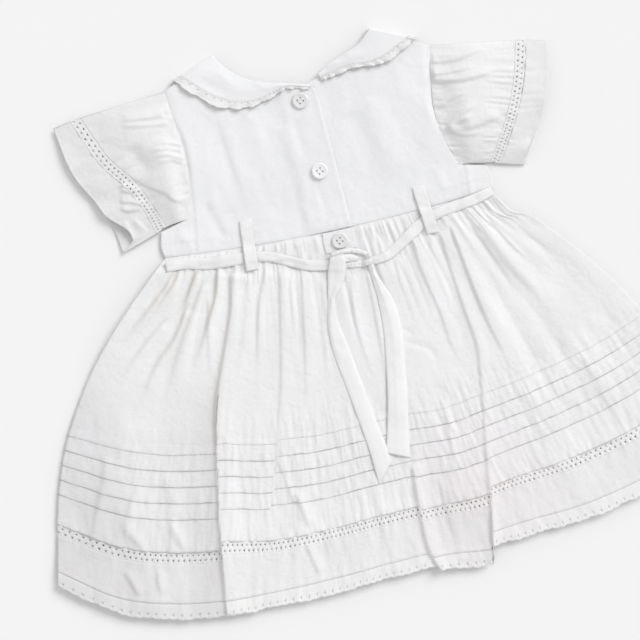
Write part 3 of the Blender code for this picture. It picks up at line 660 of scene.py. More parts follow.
# sizes across and down of the gathers and how high they are; shift moves the pattern
gatherSizes = {
    "fine": {"across": 2.6, "down": 24.0, "height": 1.9, "shift": (400, 7)},
    "middle": {"across": 6.2, "down": 62.0, "height": 2.0, "shift": (300, 5)},
    "broad": {"across": 12.5, "down": 150.0, "height": 2.0, "shift": (200, 3)},
}


def gathers(share, down, seed):
    # rounded gathers with sharp valleys between, close at the waist and merging further down
    at = waist["half"] * share
    ripples = []
    for index, size in enumerate(gatherSizes.values()):
        right, lower = size["shift"]
        ripple = drift(at / size["across"] + right, down / size["down"] + lower, seed + index)
        ripples.append(np.abs(ripple) * size["height"])
    fine, middle, broad = ripples
    fine = fine * softStep((58.0 - down) / 50.0)
    middle = middle * softStep((150.0 - down) / 120.0) * softStep((down + 12.0) / 22.0)
    broad = broad * softStep((down + 5.0) / 50.0) * mix(1.0, 0.55, softStep((down - 130.0) / 120.0))
    return fine + middle + broad


def puckers(share, down, seed):
    # short close creases by the tucks and the lace
    at = 2.0 * waist["half"] * share
    close = drift(at / 2.1 + 300, down / 9.5, seed)
    wide = drift(at / 5.2 + 200, down / 26.0, seed + 1)
    return close, wide


skirtRise = {"underLap": 0.85, "leftSide": 4.6, "sharpness": 2.2}


def skirtLift(share, down, x, y):
    lift = gathers(share, down, seeds["gathers"]) + creaseLift(skirtCreases, x, y)
    flat = softStep((x + 14.0) / 5.0) * softStep((25.0 - x) / 5.0) * softStep((30.0 - down) / 8.0)
    loft = softStep((-share - 0.8) / 0.2) * softStep(down / 15.0) * softStep((150.0 - down) / 80.0)
    lift = lift * (1.0 - skirtRise["underLap"] * flat)              # flatter under the placket's lap
    lift = lift + skirtRise["leftSide"] * loft                      # the left side stands off the surface
    sharpness = skirtRise["sharpness"]
    lift = np.log1p(np.exp(sharpness * lift)) / sharpness           # never below the front
    return lift * softStep((down + 0.6) / 5.0)                      # slips flat under the bodice


# a tuck's section: (place from its stitched line at -1 to its edge at 0, height), then the turn under
tuckSection = ((-1.0, 0.05), (-0.9, 0.3), (-0.75, 0.62), (-0.5, 0.85), (-0.25, 0.98), (-0.08, 1.0),
               (0.0, 0.84), (0.035, 0.5), (0.01, 0.2), (-0.03, 0.08))


def plainRow(down):
    return {"down": down, "lift": 0.0, "fold": 0}


def tuckAt(edge):
    # the rows from the middle of the tuck on, over its edge and under it, waver together
    return [{"down": edge + part * tucks["depth"], "lift": height, "fold": 1 if k > 3 else 0}
            for k, (part, height) in enumerate(tuckSection)]


def upperRows():
    # from just under the bodice to the turned edge of the first tuck
    return [plainRow(down) for down in np.linspace(-1.4, 159.5, 92)] + tuckAt(tucks["first"])


def lowerRows():
    # from under the first tuck to the lace
    found = [plainRow(tucks["first"] - 1.2), plainRow(tucks["first"] + 0.2 * tucks["depth"])]
    for index in range(1, tucks["count"]):
        edge = tucks["first"] + tucks["pitch"] * index
        found.append(plainRow(edge - 1.45 * tucks["depth"]))
        found += tuckAt(edge) + [plainRow(edge + 0.2 * tucks["depth"])]
    last = (226.0, 230.0, 234.0, 238.0, 241.5, 244.5, 246.5, bands["skirtEnd"])
    return found + [plainRow(down) for down in last]


def skirtBand(start, end, base, lifted):
    # a plain band of the skirt between two distances down from the waist
    def place(across, up):
        share = 2.0 * across - 1.0
        down = mix(end, start, up)
        x, y = skirtPlace(share, down)
        return x, y, base + lifted(share, down, x, y)

    return place


def lowerLift(share, down, x, y):
    close, wide = puckers(share, down, seeds["puckers"] + 5)
    nearLace = bell(down - 247.0, 7.0) + bell(down - 259.0, 8.0) + 0.7 * bell(down - 289.0, 6.0)
    ridge = 0.5 * bell(down - 287.8, 1.1)                    # the hem's turned edge
    standing = 3.6 * softStep((down - 258.0) / 46.0)         # the hem stands off the surface
    return skirtLift(share, down, x, y) + nearLace * 0.34 * close + 0.45 * wide + 0.55 + ridge + standing


def tuckedPlace(rows):
    downs = np.array([row["down"] for row in rows])
    lifts = np.array([row["lift"] for row in rows])
    folds = np.array([row["fold"] for row in rows], float)

    def place(across, up):
        share = 2.0 * across - 1.0
        index = np.rint((1.0 - up) * (len(rows) - 1)).astype(int)
        down = downs[index]
        wobble = 0.55 * drift(share * 34 + 60, down / tucks["pitch"], 77) * folds[index]
        x, y = skirtPlace(share, down + wobble)
        close, wide = puckers(share, down, seeds["puckers"])
        near = softStep((down - 132.0) / 26.0) + 0.6 * bell(down - 247.0, 7.0)
        base = skirtLift(share, down, x, y) + near * (0.42 * close + 0.5 * wide + 0.6)
        height = mix(tucks["height"], tucks["flatter"], softStep((x + 150.0) / 60.0))
        height = height * (1.0 + 0.45 * drift(share * 44 + 80, down / 13.0, 91))
        return x, y, layers["backTop"] + base + lifts[index] * height

    return place


def frontLift(share, down, x, y):
    # the front lies on the surface, with shallow folds of its own
    broad = 0.5 + 0.5 * drift(share * 9 + 40, down / 90.0 + 2, 101)
    return 0.45 * broad * softStep(down / 40.0) + 0.15 * drift(share * 30 + 90, down / 40.0, 102)


skirtFlats = {"top": (0.352, 0.158), "tucked": (0.50, 0.098), "front": (0.47, 0.29),
              "hem": (0.545, 0.034), "frontHem": (0.545, 0.034)}

backPieces = []
for name, columns, rows, flat in (("skirt_back_gathered", 350, upperRows(), skirtFlats["top"]),
                                  ("skirt_back_tucks", 420, lowerRows(), skirtFlats["tucked"])):
    backPieces.append(clothPiece(name, columns, len(rows) - 1, tuckedPlace(rows), "lawn", "cotton_lawn",
                                 ("skirt_back",), flat, wall=0.2))
clothPiece("hem_band_back", 400, 16, skirtBand(*bands["hem"], layers["backTop"], lowerLift), "hem",
           "cotton_lawn", ("hem_band_back",), skirtFlats["hem"])
clothPiece("skirt_front", 130, 70, skirtBand(0.3, bands["skirtEnd"], layers["frontTop"], frontLift),
           "lawn", "cotton_lawn", ("skirt_front",), skirtFlats["front"], wall=0.3, note=False)
clothPiece("hem_band_front", 130, 8, skirtBand(*bands["hem"], layers["frontTop"], frontLift), "hem",
           "cotton_lawn", ("hem_band_front",), skirtFlats["frontHem"], wall=0.3, note=False)
print("skirt sewn:", sum(len(piece.data.polygons) for piece in backPieces), "faces on the back")


# The lace above the hem and the scalloped lace at its edge; front is the plain grid of the unseen one
skirtLace = {"motifs": 132, "motifColumns": 5, "rows": 10, "thread": 0.22, "front": (150, 4)}
skirtEdging = {"motifs": 84, "motifColumns": 8, "rows": 11, "scallop": 1.0, "front": (336, 5)}


def laceGrid(strip):
    return strip["motifs"] * strip["motifColumns"], strip["rows"]


def laceHoles(strip, pattern):
    # pattern gives the hole centres inside one motif as (column, row)
    return [(k * strip["motifColumns"] + i, j) for k in range(strip["motifs"]) for i, j in pattern]


def insertionPlace(base, lifted):
    start, end = bands["lace"]

    def place(across, up):
        share = 2.0 * across - 1.0
        down = mix(end, start, up)
        x, y = skirtPlace(share, down)
        at = across * skirtLace["motifs"] * 2.0 * math.pi
        zigzag = np.cos(at + np.where(up > 0.5, 0.0, math.pi)) * bell(up - 0.5, 0.22)
        thread = skirtLace["thread"] * zigzag
        thread = thread - 0.28 * (bell(up, 0.07) + bell(up - 1.0, 0.07)) + 0.12 * bell(up - 0.14, 0.05)
        return x, y, base + lifted(share, down, x, y) + thread

    return place


def edgingPlace(base, lifted):
    start, end = bands["edging"]

    def place(across, up):
        share = 2.0 * across - 1.0
        at = across * skirtEdging["motifs"] * math.pi
        scallop = skirtEdging["scallop"] * (np.abs(np.sin(at)) - 0.75) * (1.0 - up) ** 2
        uneven = 1.1 * drift(across * 60, across * 3, 131) * (1.0 - up)
        down = mix(end, start, up) + scallop + uneven
        x, y = skirtPlace(share, down)
        rim = 0.3 * bell(up - 0.03, 0.06) - 0.4 * bell(up - 1.0, 0.06)
        wave = 0.5 * drift(across * 90, up * 1.5, 132) * (1.0 - up)
        return x, y, base + lifted(share, down, x, y) + rim + wave + 0.2

    return place


insertionHoles = laceHoles(skirtLace, ((1, 3), (4, 7)))
edgingHoles = laceHoles(skirtEdging, ((4, 3),))
laceFlats = {"insertion": (0.53, 0.0102), "edging": (0.56, 0.0125)}
for side, base, lifted in (("back", layers["backTop"], lowerLift), ("front", layers["frontTop"], frontLift)):
    plain = side == "front"
    lacePiece("skirt_lace_" + side, skirtLace["front"] if plain else laceGrid(skirtLace),
              insertionPlace(base, lifted), laceFlats["insertion"], wall=0.3, note=not plain,
              holes=None if plain else insertionHoles, eyelets="insertion")
    lacePiece("hem_edging_" + side, skirtEdging["front"] if plain else laceGrid(skirtEdging),
              edgingPlace(base, lifted), laceFlats["edging"], wall=0.3, note=not plain,
              holes=None if plain else edgingHoles)
print("lace set in:", len(insertionHoles) + len(edgingHoles), "eyelets")


# The bodice's edges, for the right half
sideEdge = ((142.0, 4.5), (143.5, 14.0), (141.0, 26.0))
underarm = ((141.0, 26.0), (118.0, 32.0))
armhole = ((118.0, 32.0), (110.0, 57.0), (108.0, 85.0), (111.0, 112.0), (114.5, 139.0))
shoulder = ((114.5, 139.0), (67.5, 158.5))
frontNeck = ((67.5, 158.5), (62.0, 130.0), (44.0, 106.0), (22.0, 95.0), (0.0, 92.0))
leftNeck = ((67.5, 158.5), (55.0, 146.0), (40.0, 135.5), (11.5, 127.0), (-4.0, 123.0), (-13.5, 119.5))
rightNeck = ((67.5, 158.5), (56.0, 149.5), (43.0, 143.5), (29.0, 137.5), (15.0, 128.0), (-9.0, 120.0))
lapEdge = ((19.0, -2.1), (17.5, 30.0), (16.2, 62.0), (15.0, 88.0), (13.5, 119.5))
underlapEdge = ((-8.0, -2.2), (-9.0, 120.0))
sideRuns = ((sideEdge, 3), (underarm, 2), (armhole, 8))

bodiceCreases = (
    crease(((-77, 108), (-73, 66), (-68, 26)), -0.98, 7.5, 5),
    crease(((-71, 100), (-66, 60), (-61, 24)), 0.9, 3.8, 8.8),
    crease(((-100, 44), (-95, 26), (-89, 9)), -0.75, 5, 3.8, start=6, end=8),
    crease(((-95, 47), (-89, 28), (-84, 12)), 0.6, 3.8, 6.2, start=6, end=8),
    crease(((-46, 112), (-43, 72), (-36, 22)), 0.6, 10, 6.2),
    crease(((-24, 96), (-20, 70), (-22, 40)), 0.68, 3.8, 7.5),
    crease(((-12, 100), (-9, 74), (-5, 58)), -0.6, 3.8, 3.8, start=8, end=8),
    crease(((-14, 48), (-17, 26), (-15, 6)), 0.6, 3.8, 6.2, end=6),
    crease(((-3, 42), (-1, 20), (1, 4)), -0.52, 3.1, 3.8, end=5),
    crease(((39, 96), (43, 60), (57, 5)), -1.1, 11.2, 8.8),
    crease(((53, 106), (60, 62), (74, 14)), 0.98, 8.8, 10),
    crease(((96, 106), (103, 80), (112, 54)), 0.75, 7.5, 3.8),
    crease(((78, 70), (90, 46), (98, 22)), -0.68, 10, 7.5),
    crease(((96, 38), (100, 22), (104, 6)), 0.75, 3.8, 5, start=6, end=6),
    crease(((126, 30), (123, 18), (121, 3)), 0.9, 5, 6.2, start=5, end=5),
    crease(((-128, 26), (-122, 16), (-118, 5)), 0.83, 5, 5, start=5, end=5),
)
bodiceSeams = (   # pressed seams, from the top down
    {"line": ((-113, 137), (-111.3, 118), (-106.5, 99), (-105.5, 82), (-108.5, 47), (-114, 8)),
     "width": 0.9},
    {"line": ((121, 38), (122.8, 30), (121, 5)), "width": 0.9},
)


def joined(runs, side=1):
    total = sum(rows for _points, rows in runs)

    def edge(share):
        place = np.asarray(share) * total
        x, y, start = np.zeros(place.shape), np.zeros(place.shape), 0
        for points, rows in runs:
            px, py = curvePoint(points, np.clip((place - start) / rows, 0.0, 1.0))
            here = place >= start - 1e-9
            x, y = np.where(here, side * px, x), np.where(here, py, y)
            start += rows
        return x, y

    return edge


def patch(bottom, top, left, right):
    # a surface stretched between four edges
    def point(across, up):
        zero, one = np.zeros(1), np.ones(1)
        result = []
        for axis in (0, 1):
            low, high = bottom(across)[axis], top(across)[axis]
            start, end = left(up)[axis], right(up)[axis]
            ruled = mix(low, high, up) + mix(start, end, across)
            lower = mix(bottom(zero)[axis], bottom(one)[axis], across)
            higher = mix(top(zero)[axis], top(one)[axis], across)
            result.append(ruled - mix(lower, higher, up))
        return result

    return point


def waistRun(start, end):
    def edge(share):
        x = mix(start, end, share)
        return x, waistY(x) + 0.3

    return edge


def bodiceRelief(x, y):
    lift = 1.2 + creaseLift(bodiceCreases, x, y)
    lift += 0.42 * drift(x / 17 + 40, y / 34 + 20, 141) + 0.22 * drift(x / 7 + 40, y / 11 + 20, 142)
    band = 1.0 - softStep((y - waistY(x) - 11.0) / 1.4)
    lift = lift * (1.0 - 0.45 * band) + 0.45 * band
    lift += band * 0.16 * drift(x / 2.4 + 80, y / 9 + 20, 143)
    lift = mix(0.2, lift, softStep((y - waistY(x) + 0.6) / 3.0))
    for seam in bodiceSeams:
        line = np.stack(curvePoint(seam["line"], np.linspace(0, 1, 26)), 1)
        signed, _place, _length = nearLine(line, x, y)
        beside = softStep((signed + 0.6) / 1.2) * bell(np.maximum(signed, 0), 5.0)
        lift += 0.5 * beside - 0.35 * bell(signed, seam["width"])
    return np.maximum(lift, 0.15)


def bodicePlace(outline, base, lapping, relief=bodiceRelief, note=True):
    def place(across, up):
        x, y = outline(across, up)
        lift = relief(x, y)
        if lapping:
            lift = lift + lapLift(x) * mix(0.35, 1.0, softStep((y + 2.0) / 6.0))
            edge, _y = curvePoint(lapEdge, np.clip((y + 2.0) / 121.5, 0, 1))
            lift = lift - 0.45 * softStep((x - edge + 2.6) / 2.6) + 0.12 * bell(x - edge + 3.4, 1.2)
        inside = np.interp(y, [p[1] for p in armhole], [p[0] for p in armhole]) - np.abs(x)
        drop = 1.2 * softStep((y - 50.0) / 30.0) * softStep(1.0 - inside / 7.0)        # meets the sleeve
        z = base + yokeLift(y) + lift - (drop if note else 0.0)
        x, y = lean(x, y)
        return x, y, z

    return place


leftOutline = patch(
    bottom=waistRun(-waist["half"], lapEdge[0][0]),
    top=joined(((shoulder, 5), (leftNeck, 9)), side=-1),
    left=joined(sideRuns, side=-1),
    right=lambda share: curvePoint(lapEdge, share),
)
rightOutline = patch(
    bottom=waistRun(underlapEdge[0][0], waist["half"]),
    top=joined(((tuple(reversed(rightNeck)), 9), (tuple(reversed(shoulder)), 5))),
    left=lambda share: curvePoint(underlapEdge, share),
    right=joined(sideRuns),
)
frontTopLeft = joined(((shoulder, 3), (frontNeck, 5)), side=-1)
frontTopRight = joined(((shoulder, 3), (frontNeck, 5)))


def frontTop(share):
    left, right = frontTopLeft(np.clip(2 * share, 0, 1)), frontTopRight(np.clip(2 - 2 * share, 0, 1))
    return np.where(share < 0.5, left[0], right[0]), np.where(share < 0.5, left[1], right[1])


frontOutline = patch(bottom=waistRun(-waist["half"], waist["half"]), top=frontTop,
                     left=joined(sideRuns, side=-1), right=joined(sideRuns))


def frontRelief(x, y):
    return 0.25 + 0.2 * drift(x / 26 + 40, y / 40 + 20, 151)


bodiceFlats = {"left": (0.16, 0.15), "right": (0.165, 0.15), "front": (0.285, 0.145)}
clothPiece("bodice_back_right", 118, 104, bodicePlace(rightOutline, 1.9, False), "bodice",
           "bodice_cotton", ("bodice_back_right",), bodiceFlats["right"], wall=0.25)
clothPiece("bodice_back_left", 122, 104, bodicePlace(leftOutline, 1.9, True), "bodice",
           "bodice_cotton", ("bodice_back_left",), bodiceFlats["left"], wall=0.25)
clothPiece("bodice_front", 90, 50, bodicePlace(frontOutline, 0.3, False, frontRelief, note=False), "bodice",
           "bodice_cotton", ("bodice_front",), bodiceFlats["front"], wall=0.3, note=False)

placket = {"left": -8.0, "right": 19.2, "bottom": -20.5, "height": 3.3, "flat": (0.0275, 0.0185)}


def placketPlace(across, up):
    x = mix(placket["left"], placket["right"], across) + 0.3 * np.sin(up * 9.0)
    y = mix(placket["bottom"], waistY(x) - 0.4, up)
    lift = placket["height"] + 0.35 * bell(across - 0.97, 0.04) + 0.2 * drift(across * 6, up * 4, 161)
    lift = lift + 0.6 * (tops.over(x, y) - 3.0).clip(0, 1.2)        # rides up on the gathers
    return x, y, lift


clothPiece("placket_lap", 30, 24, placketPlace, "bodice", "bodice_cotton", ("placket_lap",),
           placket["flat"])
print("bodice cut and lapped")


# The collar halves: where each rolls over and where its cloth ends, on the back and on the front
collars = {
    "left": {
        "backRoll": ((-9.0, 123.0), (11.0, 127.8), (26.0, 131.4), (41.0, 136.4),
                     (56.0, 147.0), (66.0, 160.0)),
        "backEdge": ((-9.0, 120.6), (11.0, 124.8), (23.0, 121.8), (45.0, 118.0),
                     (70.0, 125.0), (97.0, 147.5)),
        "lace": (2.0, 3.5, 7.0, 7.0),
    },
    "right": {
        "backRoll": ((17.0, 130.6), (28.0, 137.6), (42.0, 143.8), (56.0, 150.5), (66.0, 160.0)),
        "backEdge": ((18.0, 127.6), (29.0, 130.5), (44.0, 134.0), (62.0, 133.6),
                     (76.0, 136.6), (97.0, 147.5)),
        "lace": (3.5, 6.0, 7.0, 7.0),
    },
}
collarFrontRoll = ((66.0, 160.0), (61.0, 132.0), (43.0, 108.0), (21.0, 97.5), (3.0, 95.0))
collarFrontEdge = ((97.0, 147.5), (88.0, 121.0), (66.0, 96.0), (38.0, 78.0), (6.0, 90.0))
collarForm = {"stand": 1.0, "turn": 0.08, "reach": 2.2, "outward": (0.4, 0.92), "base": 4.2, "puff": 0.9}
collarLace = {"motifs": 56, "motifColumns": 6, "rows": 9, "ruffle": 0.9}
collarCreases = (
    crease(((-70, 152), (-60, 140), (-46, 128)), 0.9, 4, 6),
    crease(((-84, 146), (-70, 134), (-56, 126)), -0.8, 4, 4),
    crease(((-40, 136), (-32, 130), (-22, 124)), 0.6, 3, 5, end=8),
    crease(((40, 142), (54, 141), (70, 146)), 0.7, 3, 4),
    crease(((24, 134), (30, 137), (38, 138)), 1.0, 2, 2, start=4, end=5),
)


def collarLine(back, front, share):
    turn = collarForm["turn"]
    bx, by = curvePoint(back, np.clip(share / (0.5 - turn), 0, 1))
    fx, fy = curvePoint(front, np.clip((share - 0.5 - turn) / (0.5 - turn), 0, 1))
    return np.where(share < 0.5, bx, fx), np.where(share < 0.5, by, fy)


def collarPlace(label, band):
    table = collars[label]
    side = -1 if label == "left" else 1
    turn = collarForm["turn"]

    def place(share, across):
        rollX, rollY = collarLine(table["backRoll"], collarFrontRoll, share)
        edgeX, edgeY = collarLine(table["backEdge"], collarFrontEdge, share)
        width = np.hypot(edgeX - rollX, edgeY - rollY)
        past, raised = band(share, across, width)
        reach = past / width
        x, y = mix(rollX, edgeX, reach), mix(rollY, edgeY, reach)
        lap = lapLift(-x) if side < 0 else 0.0
        inside = np.clip(reach, 0.0, 1.0)
        top = collarForm["base"] + 1.3 + lap
        top = top + collarForm["stand"] * softStep(reach / 0.6) * softStep(share * 6.0)
        top = top + collarForm["puff"] * np.sin(math.pi * inside) ** 0.8
        top = top + creaseLift(collarCreases, side * x, y)
        angle = math.pi * np.clip((share - 0.5 + turn) / (2 * turn), 0, 1)
        back = (top + 0.4) / 2 + ((top - 0.4) / 2 + raised) * np.cos(angle)
        bulge = (collarForm["reach"] + 0.4 * raised) * np.sin(angle)
        x = x + collarForm["outward"][0] * bulge
        y = y + collarForm["outward"][1] * bulge
        x, y = lean(side * x, y)
        return x, y, np.maximum(back, 0.25)

    return place


def collarCloth(_share, across, width):
    edge = bell(across - 0.93, 0.035)
    return across * (width - 0.3), 0.3 * edge


def collarFrill(label):
    depths = collars[label]["lace"]

    def band(share, across, width):
        knots = np.linspace(0, 0.5, len(depths))
        depth = np.where(share < 0.5, smoothTable(knots, depths, share), depths[-1])
        at = share * collarLace["motifs"] * 2 * math.pi
        bumpy = np.sin(at * 0.34 + 2.2 * drift(share * 22, share * 3, 171))
        ruffle = collarLace["ruffle"] * bumpy * across ** 1.3
        scallop = 0.75 * (np.abs(np.sin(at / 2)) - 0.5) * across ** 3 + 0.7 * bumpy * across ** 2
        past = width - 0.6 + across * depth + scallop
        rim = 0.4 * bell(across - 0.93, 0.13) - 0.2 * bell(across - 0.12, 0.08)
        return past, ruffle + rim + 0.5

    return band


collarFlats = {"cloth": (0.205, 0.024), "lace": (0.25, 0.0105)}
for label in collars:
    clothPiece("collar_" + label, 110, 18, collarPlace(label, collarCloth), "bodice", "bodice_cotton",
               ("collar_" + label,), collarFlats["cloth"], wall=0.5)
    lacePiece("collar_lace_" + label, laceGrid(collarLace), collarPlace(label, collarFrill(label)),
              collarFlats["lace"], wall=0.45, holes=laceHoles(collarLace, ((2, 2),)))
print("collar halves edged")


# The sleeves: the lines where the puff, the lace and the frill end, from the underarm up
sleeves = {
    "left": {
        "cuff": ((136.0, 29.5), (142.0, 47.0), (154.0, 71.0), (172.0, 95.0), (188.0, 130.0)),
        "lace": ((145.5, 25.5), (150.5, 43.5), (162.0, 66.0), (180.5, 90.5), (197.0, 128.5)),
        "frill": ((176.0, 15.5), (180.0, 36.0), (189.0, 58.0), (204.0, 86.0), (212.0, 125.0)),
    },
    "right": {
        "cuff": ((144.5, 28.0), (156.0, 47.0), (167.0, 68.0), (178.0, 96.0), (187.0, 130.0)),
        "lace": ((153.0, 25.0), (164.0, 44.0), (175.5, 65.5), (187.0, 94.0), (196.0, 128.5)),
        "frill": ((173.0, 20.0), (184.0, 39.0), (196.5, 63.0), (207.0, 91.0), (212.0, 125.0)),
    },
}
# heights of the flattened sleeves at the armhole, at the folded sides and along the arm
sleeveForm = {"armhole": {"left": 4.2, "right": 2.9}, "side": {"left": 3.4, "right": 1.6},
              "puff": 10.5, "cuff": 6.4, "frill": 6.0, "round": 0.45, "frillWave": 2.2,
              "curl": {"left": 0.7, "right": 0.25}}
sleeveLace = {"motifs": 58, "motifColumns": 5, "rows": 10}
sleeveCreases = (
    crease(((-168, 66), (-161, 64), (-151, 59)), 2.0, 1.4, 4, start=4, end=8),
    crease(((-170, 57), (-158, 54), (-147, 49)), 2.2, 1.4, 4, start=4, end=8),
    crease(((-171, 51), (-161, 48), (-150, 48)), 2.2, 1.4, 4, start=4, end=8),
    crease(((-161, 41), (-156, 34), (-151, 27)), 2.0, 4, 1.4, start=4, end=6),
    crease(((-170, 41), (-166, 32), (-163, 24)), 1.8, 4, 1.6, start=4, end=6),
    crease(((-167, 70), (-157, 66), (-150, 61)), 1.4, 1.4, 3, start=4, end=6),
    crease(((-154, 131), (-134, 135), (-122, 135)), 2.0, 1.5, 6, start=8, end=14),
    crease(((-155, 121), (-137, 120), (-116, 119)), 3.0, 1.5, 6, start=8, end=4),
    crease(((-156, 117), (-136, 114), (-114, 112)), 2.0, 1.4, 3, start=8, end=4),
    crease(((-132, 97), (-118, 96), (-107, 92)), 1.9, 1.4, 3.5, start=12, end=3),
    crease(((-138, 92), (-122, 92), (-108, 88)), 1.9, 1.4, 3, start=12, end=3),
    crease(((-135, 86), (-123, 87), (-108, 81)), 1.9, 1.4, 3, start=10, end=3),
    crease(((-133, 80), (-119, 82), (-109, 77)), 1.6, 1.3, 3, start=10, end=3),
    crease(((-149, 102), (-147, 87), (-134, 75)), -2.6, 8, 7, start=8, end=12),
    crease(((-160, 80), (-144, 66), (-130, 57), (-116, 45)), 1.3, 1.8, 9, start=6, end=16),
    crease(((-130, 55), (-123, 49), (-112, 46)), 1.4, 1.4, 4, start=6, end=8),
    crease(((113, 124), (133, 122), (148, 125), (163, 128)), 2.8, 1.4, 7, start=2, end=16),
    crease(((114, 128), (127, 127), (139, 125)), 1.2, 1.3, 3, start=2, end=10),
    crease(((111, 113), (132, 112), (151, 113)), 2.2, 1.4, 5, start=2, end=14),
    crease(((111, 108), (134, 104), (156, 105), (167, 109)), 3.2, 1.8, 7, start=2, end=16),
    crease(((111, 85), (127, 90), (138, 92)), 1.7, 1.4, 5, start=6, end=10),
    crease(((115, 64), (131, 75), (144, 80)), 2.0, 1.2, 4, start=2, end=10),
    crease(((116, 64), (127, 68), (139, 70)), 1.6, 1.2, 3, start=3, end=8),
    crease(((125, 60), (142, 63), (163, 68)), 3.4, 2.6, 9, start=10, end=12),
    crease(((114, 64), (127, 56), (145, 54)), 1.6, 1.5, 4, start=3, end=14),
    crease(((126, 33), (133, 25), (142, 17)), 1.2, 1.4, 3, start=3, end=6),
)


def sleeveStretch(label, start, end, height, ripple, curl=0.0):
    side = -1 if label == "left" else 1
    seed = seeds["sleeves"] + (0 if label == "left" else 7)

    def place(around, down):
        layer = around * 2.0
        across = np.where(layer <= 1.0, layer, 2.0 - layer)
        upper = layer <= 1.0
        ax, ay = curvePoint(start, across)
        bx, by = curvePoint(end, across)
        curled = curl * softStep(across / 0.06) * softStep((0.42 - across) / 0.3) * upper
        x, y = mix(ax, bx, down * (1.0 - 0.55 * curled)), mix(ay, by, down * (1.0 - 0.55 * curled))
        rounded = np.sin(math.pi * np.clip(across, 0, 1)) ** sleeveForm["round"]
        sideHeight = sleeveForm["side"][label]
        top = sideHeight + (height(across, down, label) - sideHeight) * rounded
        fuller = ripple(across, down, seed)
        top = top + rounded * (fuller + creaseLift(sleeveCreases, side * x, y)) + 2.2 * curled * down ** 2
        low = sideHeight - (sideHeight - 0.7) * rounded
        low = low + 0.25 * rounded * drift(across * 9 + 30, down * 3, seed + 3)
        z = np.where(upper, np.maximum(top, low + 0.9), low)
        x, y = lean(side * x, y)
        return x, y, z

    return place


def puffHeight(across, down, label):
    rise = mix(sleeveForm["armhole"][label], sleeveForm["puff"], softStep((down - 0.02) / 0.45))
    return mix(rise, sleeveForm["cuff"], softStep((down - 0.5) / 0.5))


def puffRipple(across, down, seed):
    atSeam = np.abs(drift(across * 21 + 30, down * 2.5, seed)) * 2.3
    atSeam = atSeam * softStep((0.55 - down) / 0.5) * softStep((down + 0.01) / 0.07)
    atCuff = np.abs(drift(across * 26 + 50, down * 2.5, seed + 1)) * 1.8 * softStep((down - 0.55) / 0.4)
    return atSeam + atCuff + 0.7 * drift(across * 5 + 10, down * 3 + 10, seed + 2)


def cuffHeight(across, down, label):
    return sleeveForm["cuff"]


def cuffRipple(across, down, seed):
    return np.abs(drift(across * 26 + 50, 2.5 + down, seed + 1)) + 0.2 * bell(down - 0.05, 0.06)


def frillHeight(across, down, label):
    return mix(sleeveForm["cuff"], sleeveForm["frill"], down)


def frillRipple(across, down, seed):
    wide = drift(across * 7 + 60, down * 0.8, seed + 5)
    close = np.abs(drift(across * 18 + 60, down * 1.2, seed + 6))
    wave = sleeveForm["frillWave"] * wide * softStep(down)
    return wave + 1.3 * close * (1.0 - 0.6 * down) + 0.3 * bell(down - 0.97, 0.04)


sleeveFlats = {"puff": (0.235, 0.075), "lace": (0.235, 0.0105), "frill": (0.25, 0.034)}
armLine = tuple((x - 1.0, y) for x, y in armhole)
for label, ends in sleeves.items():
    puff = sleeveStretch(label, armLine, ends["cuff"], puffHeight, puffRipple)
    clothPiece("sleeve_" + label, 220, 54, puff, "lawn", "cotton_lawn", ("sleeve_" + label,),
               sleeveFlats["puff"], weld=True)
    band = sleeveStretch(label, ends["cuff"], ends["lace"], cuffHeight, cuffRipple)
    lacePiece("sleeve_lace_" + label, laceGrid(sleeveLace), band, sleeveFlats["lace"], weld=True,
              holes=laceHoles(sleeveLace, ((1, 3), (4, 7))), eyelets="insertion")
    frill = sleeveStretch(label, ends["lace"], ends["frill"], frillHeight, frillRipple,
                          sleeveForm["curl"][label])
    clothPiece("sleeve_frill_" + label, 220, 26, frill, "lawn", "cotton_lawn", ("sleeve_frill_" + label,),
               sleeveFlats["frill"], weld=True)
print("sleeves gathered and frilled")


def spot(x, y, width, over, crease, fold):
    # one place along a band: its middle, its width, how far it lies over what is under it, and the
    # place across it and the height of the fold that runs along it
    return {"x": x, "y": y, "width": width, "over": over, "crease": crease, "fold": fold}


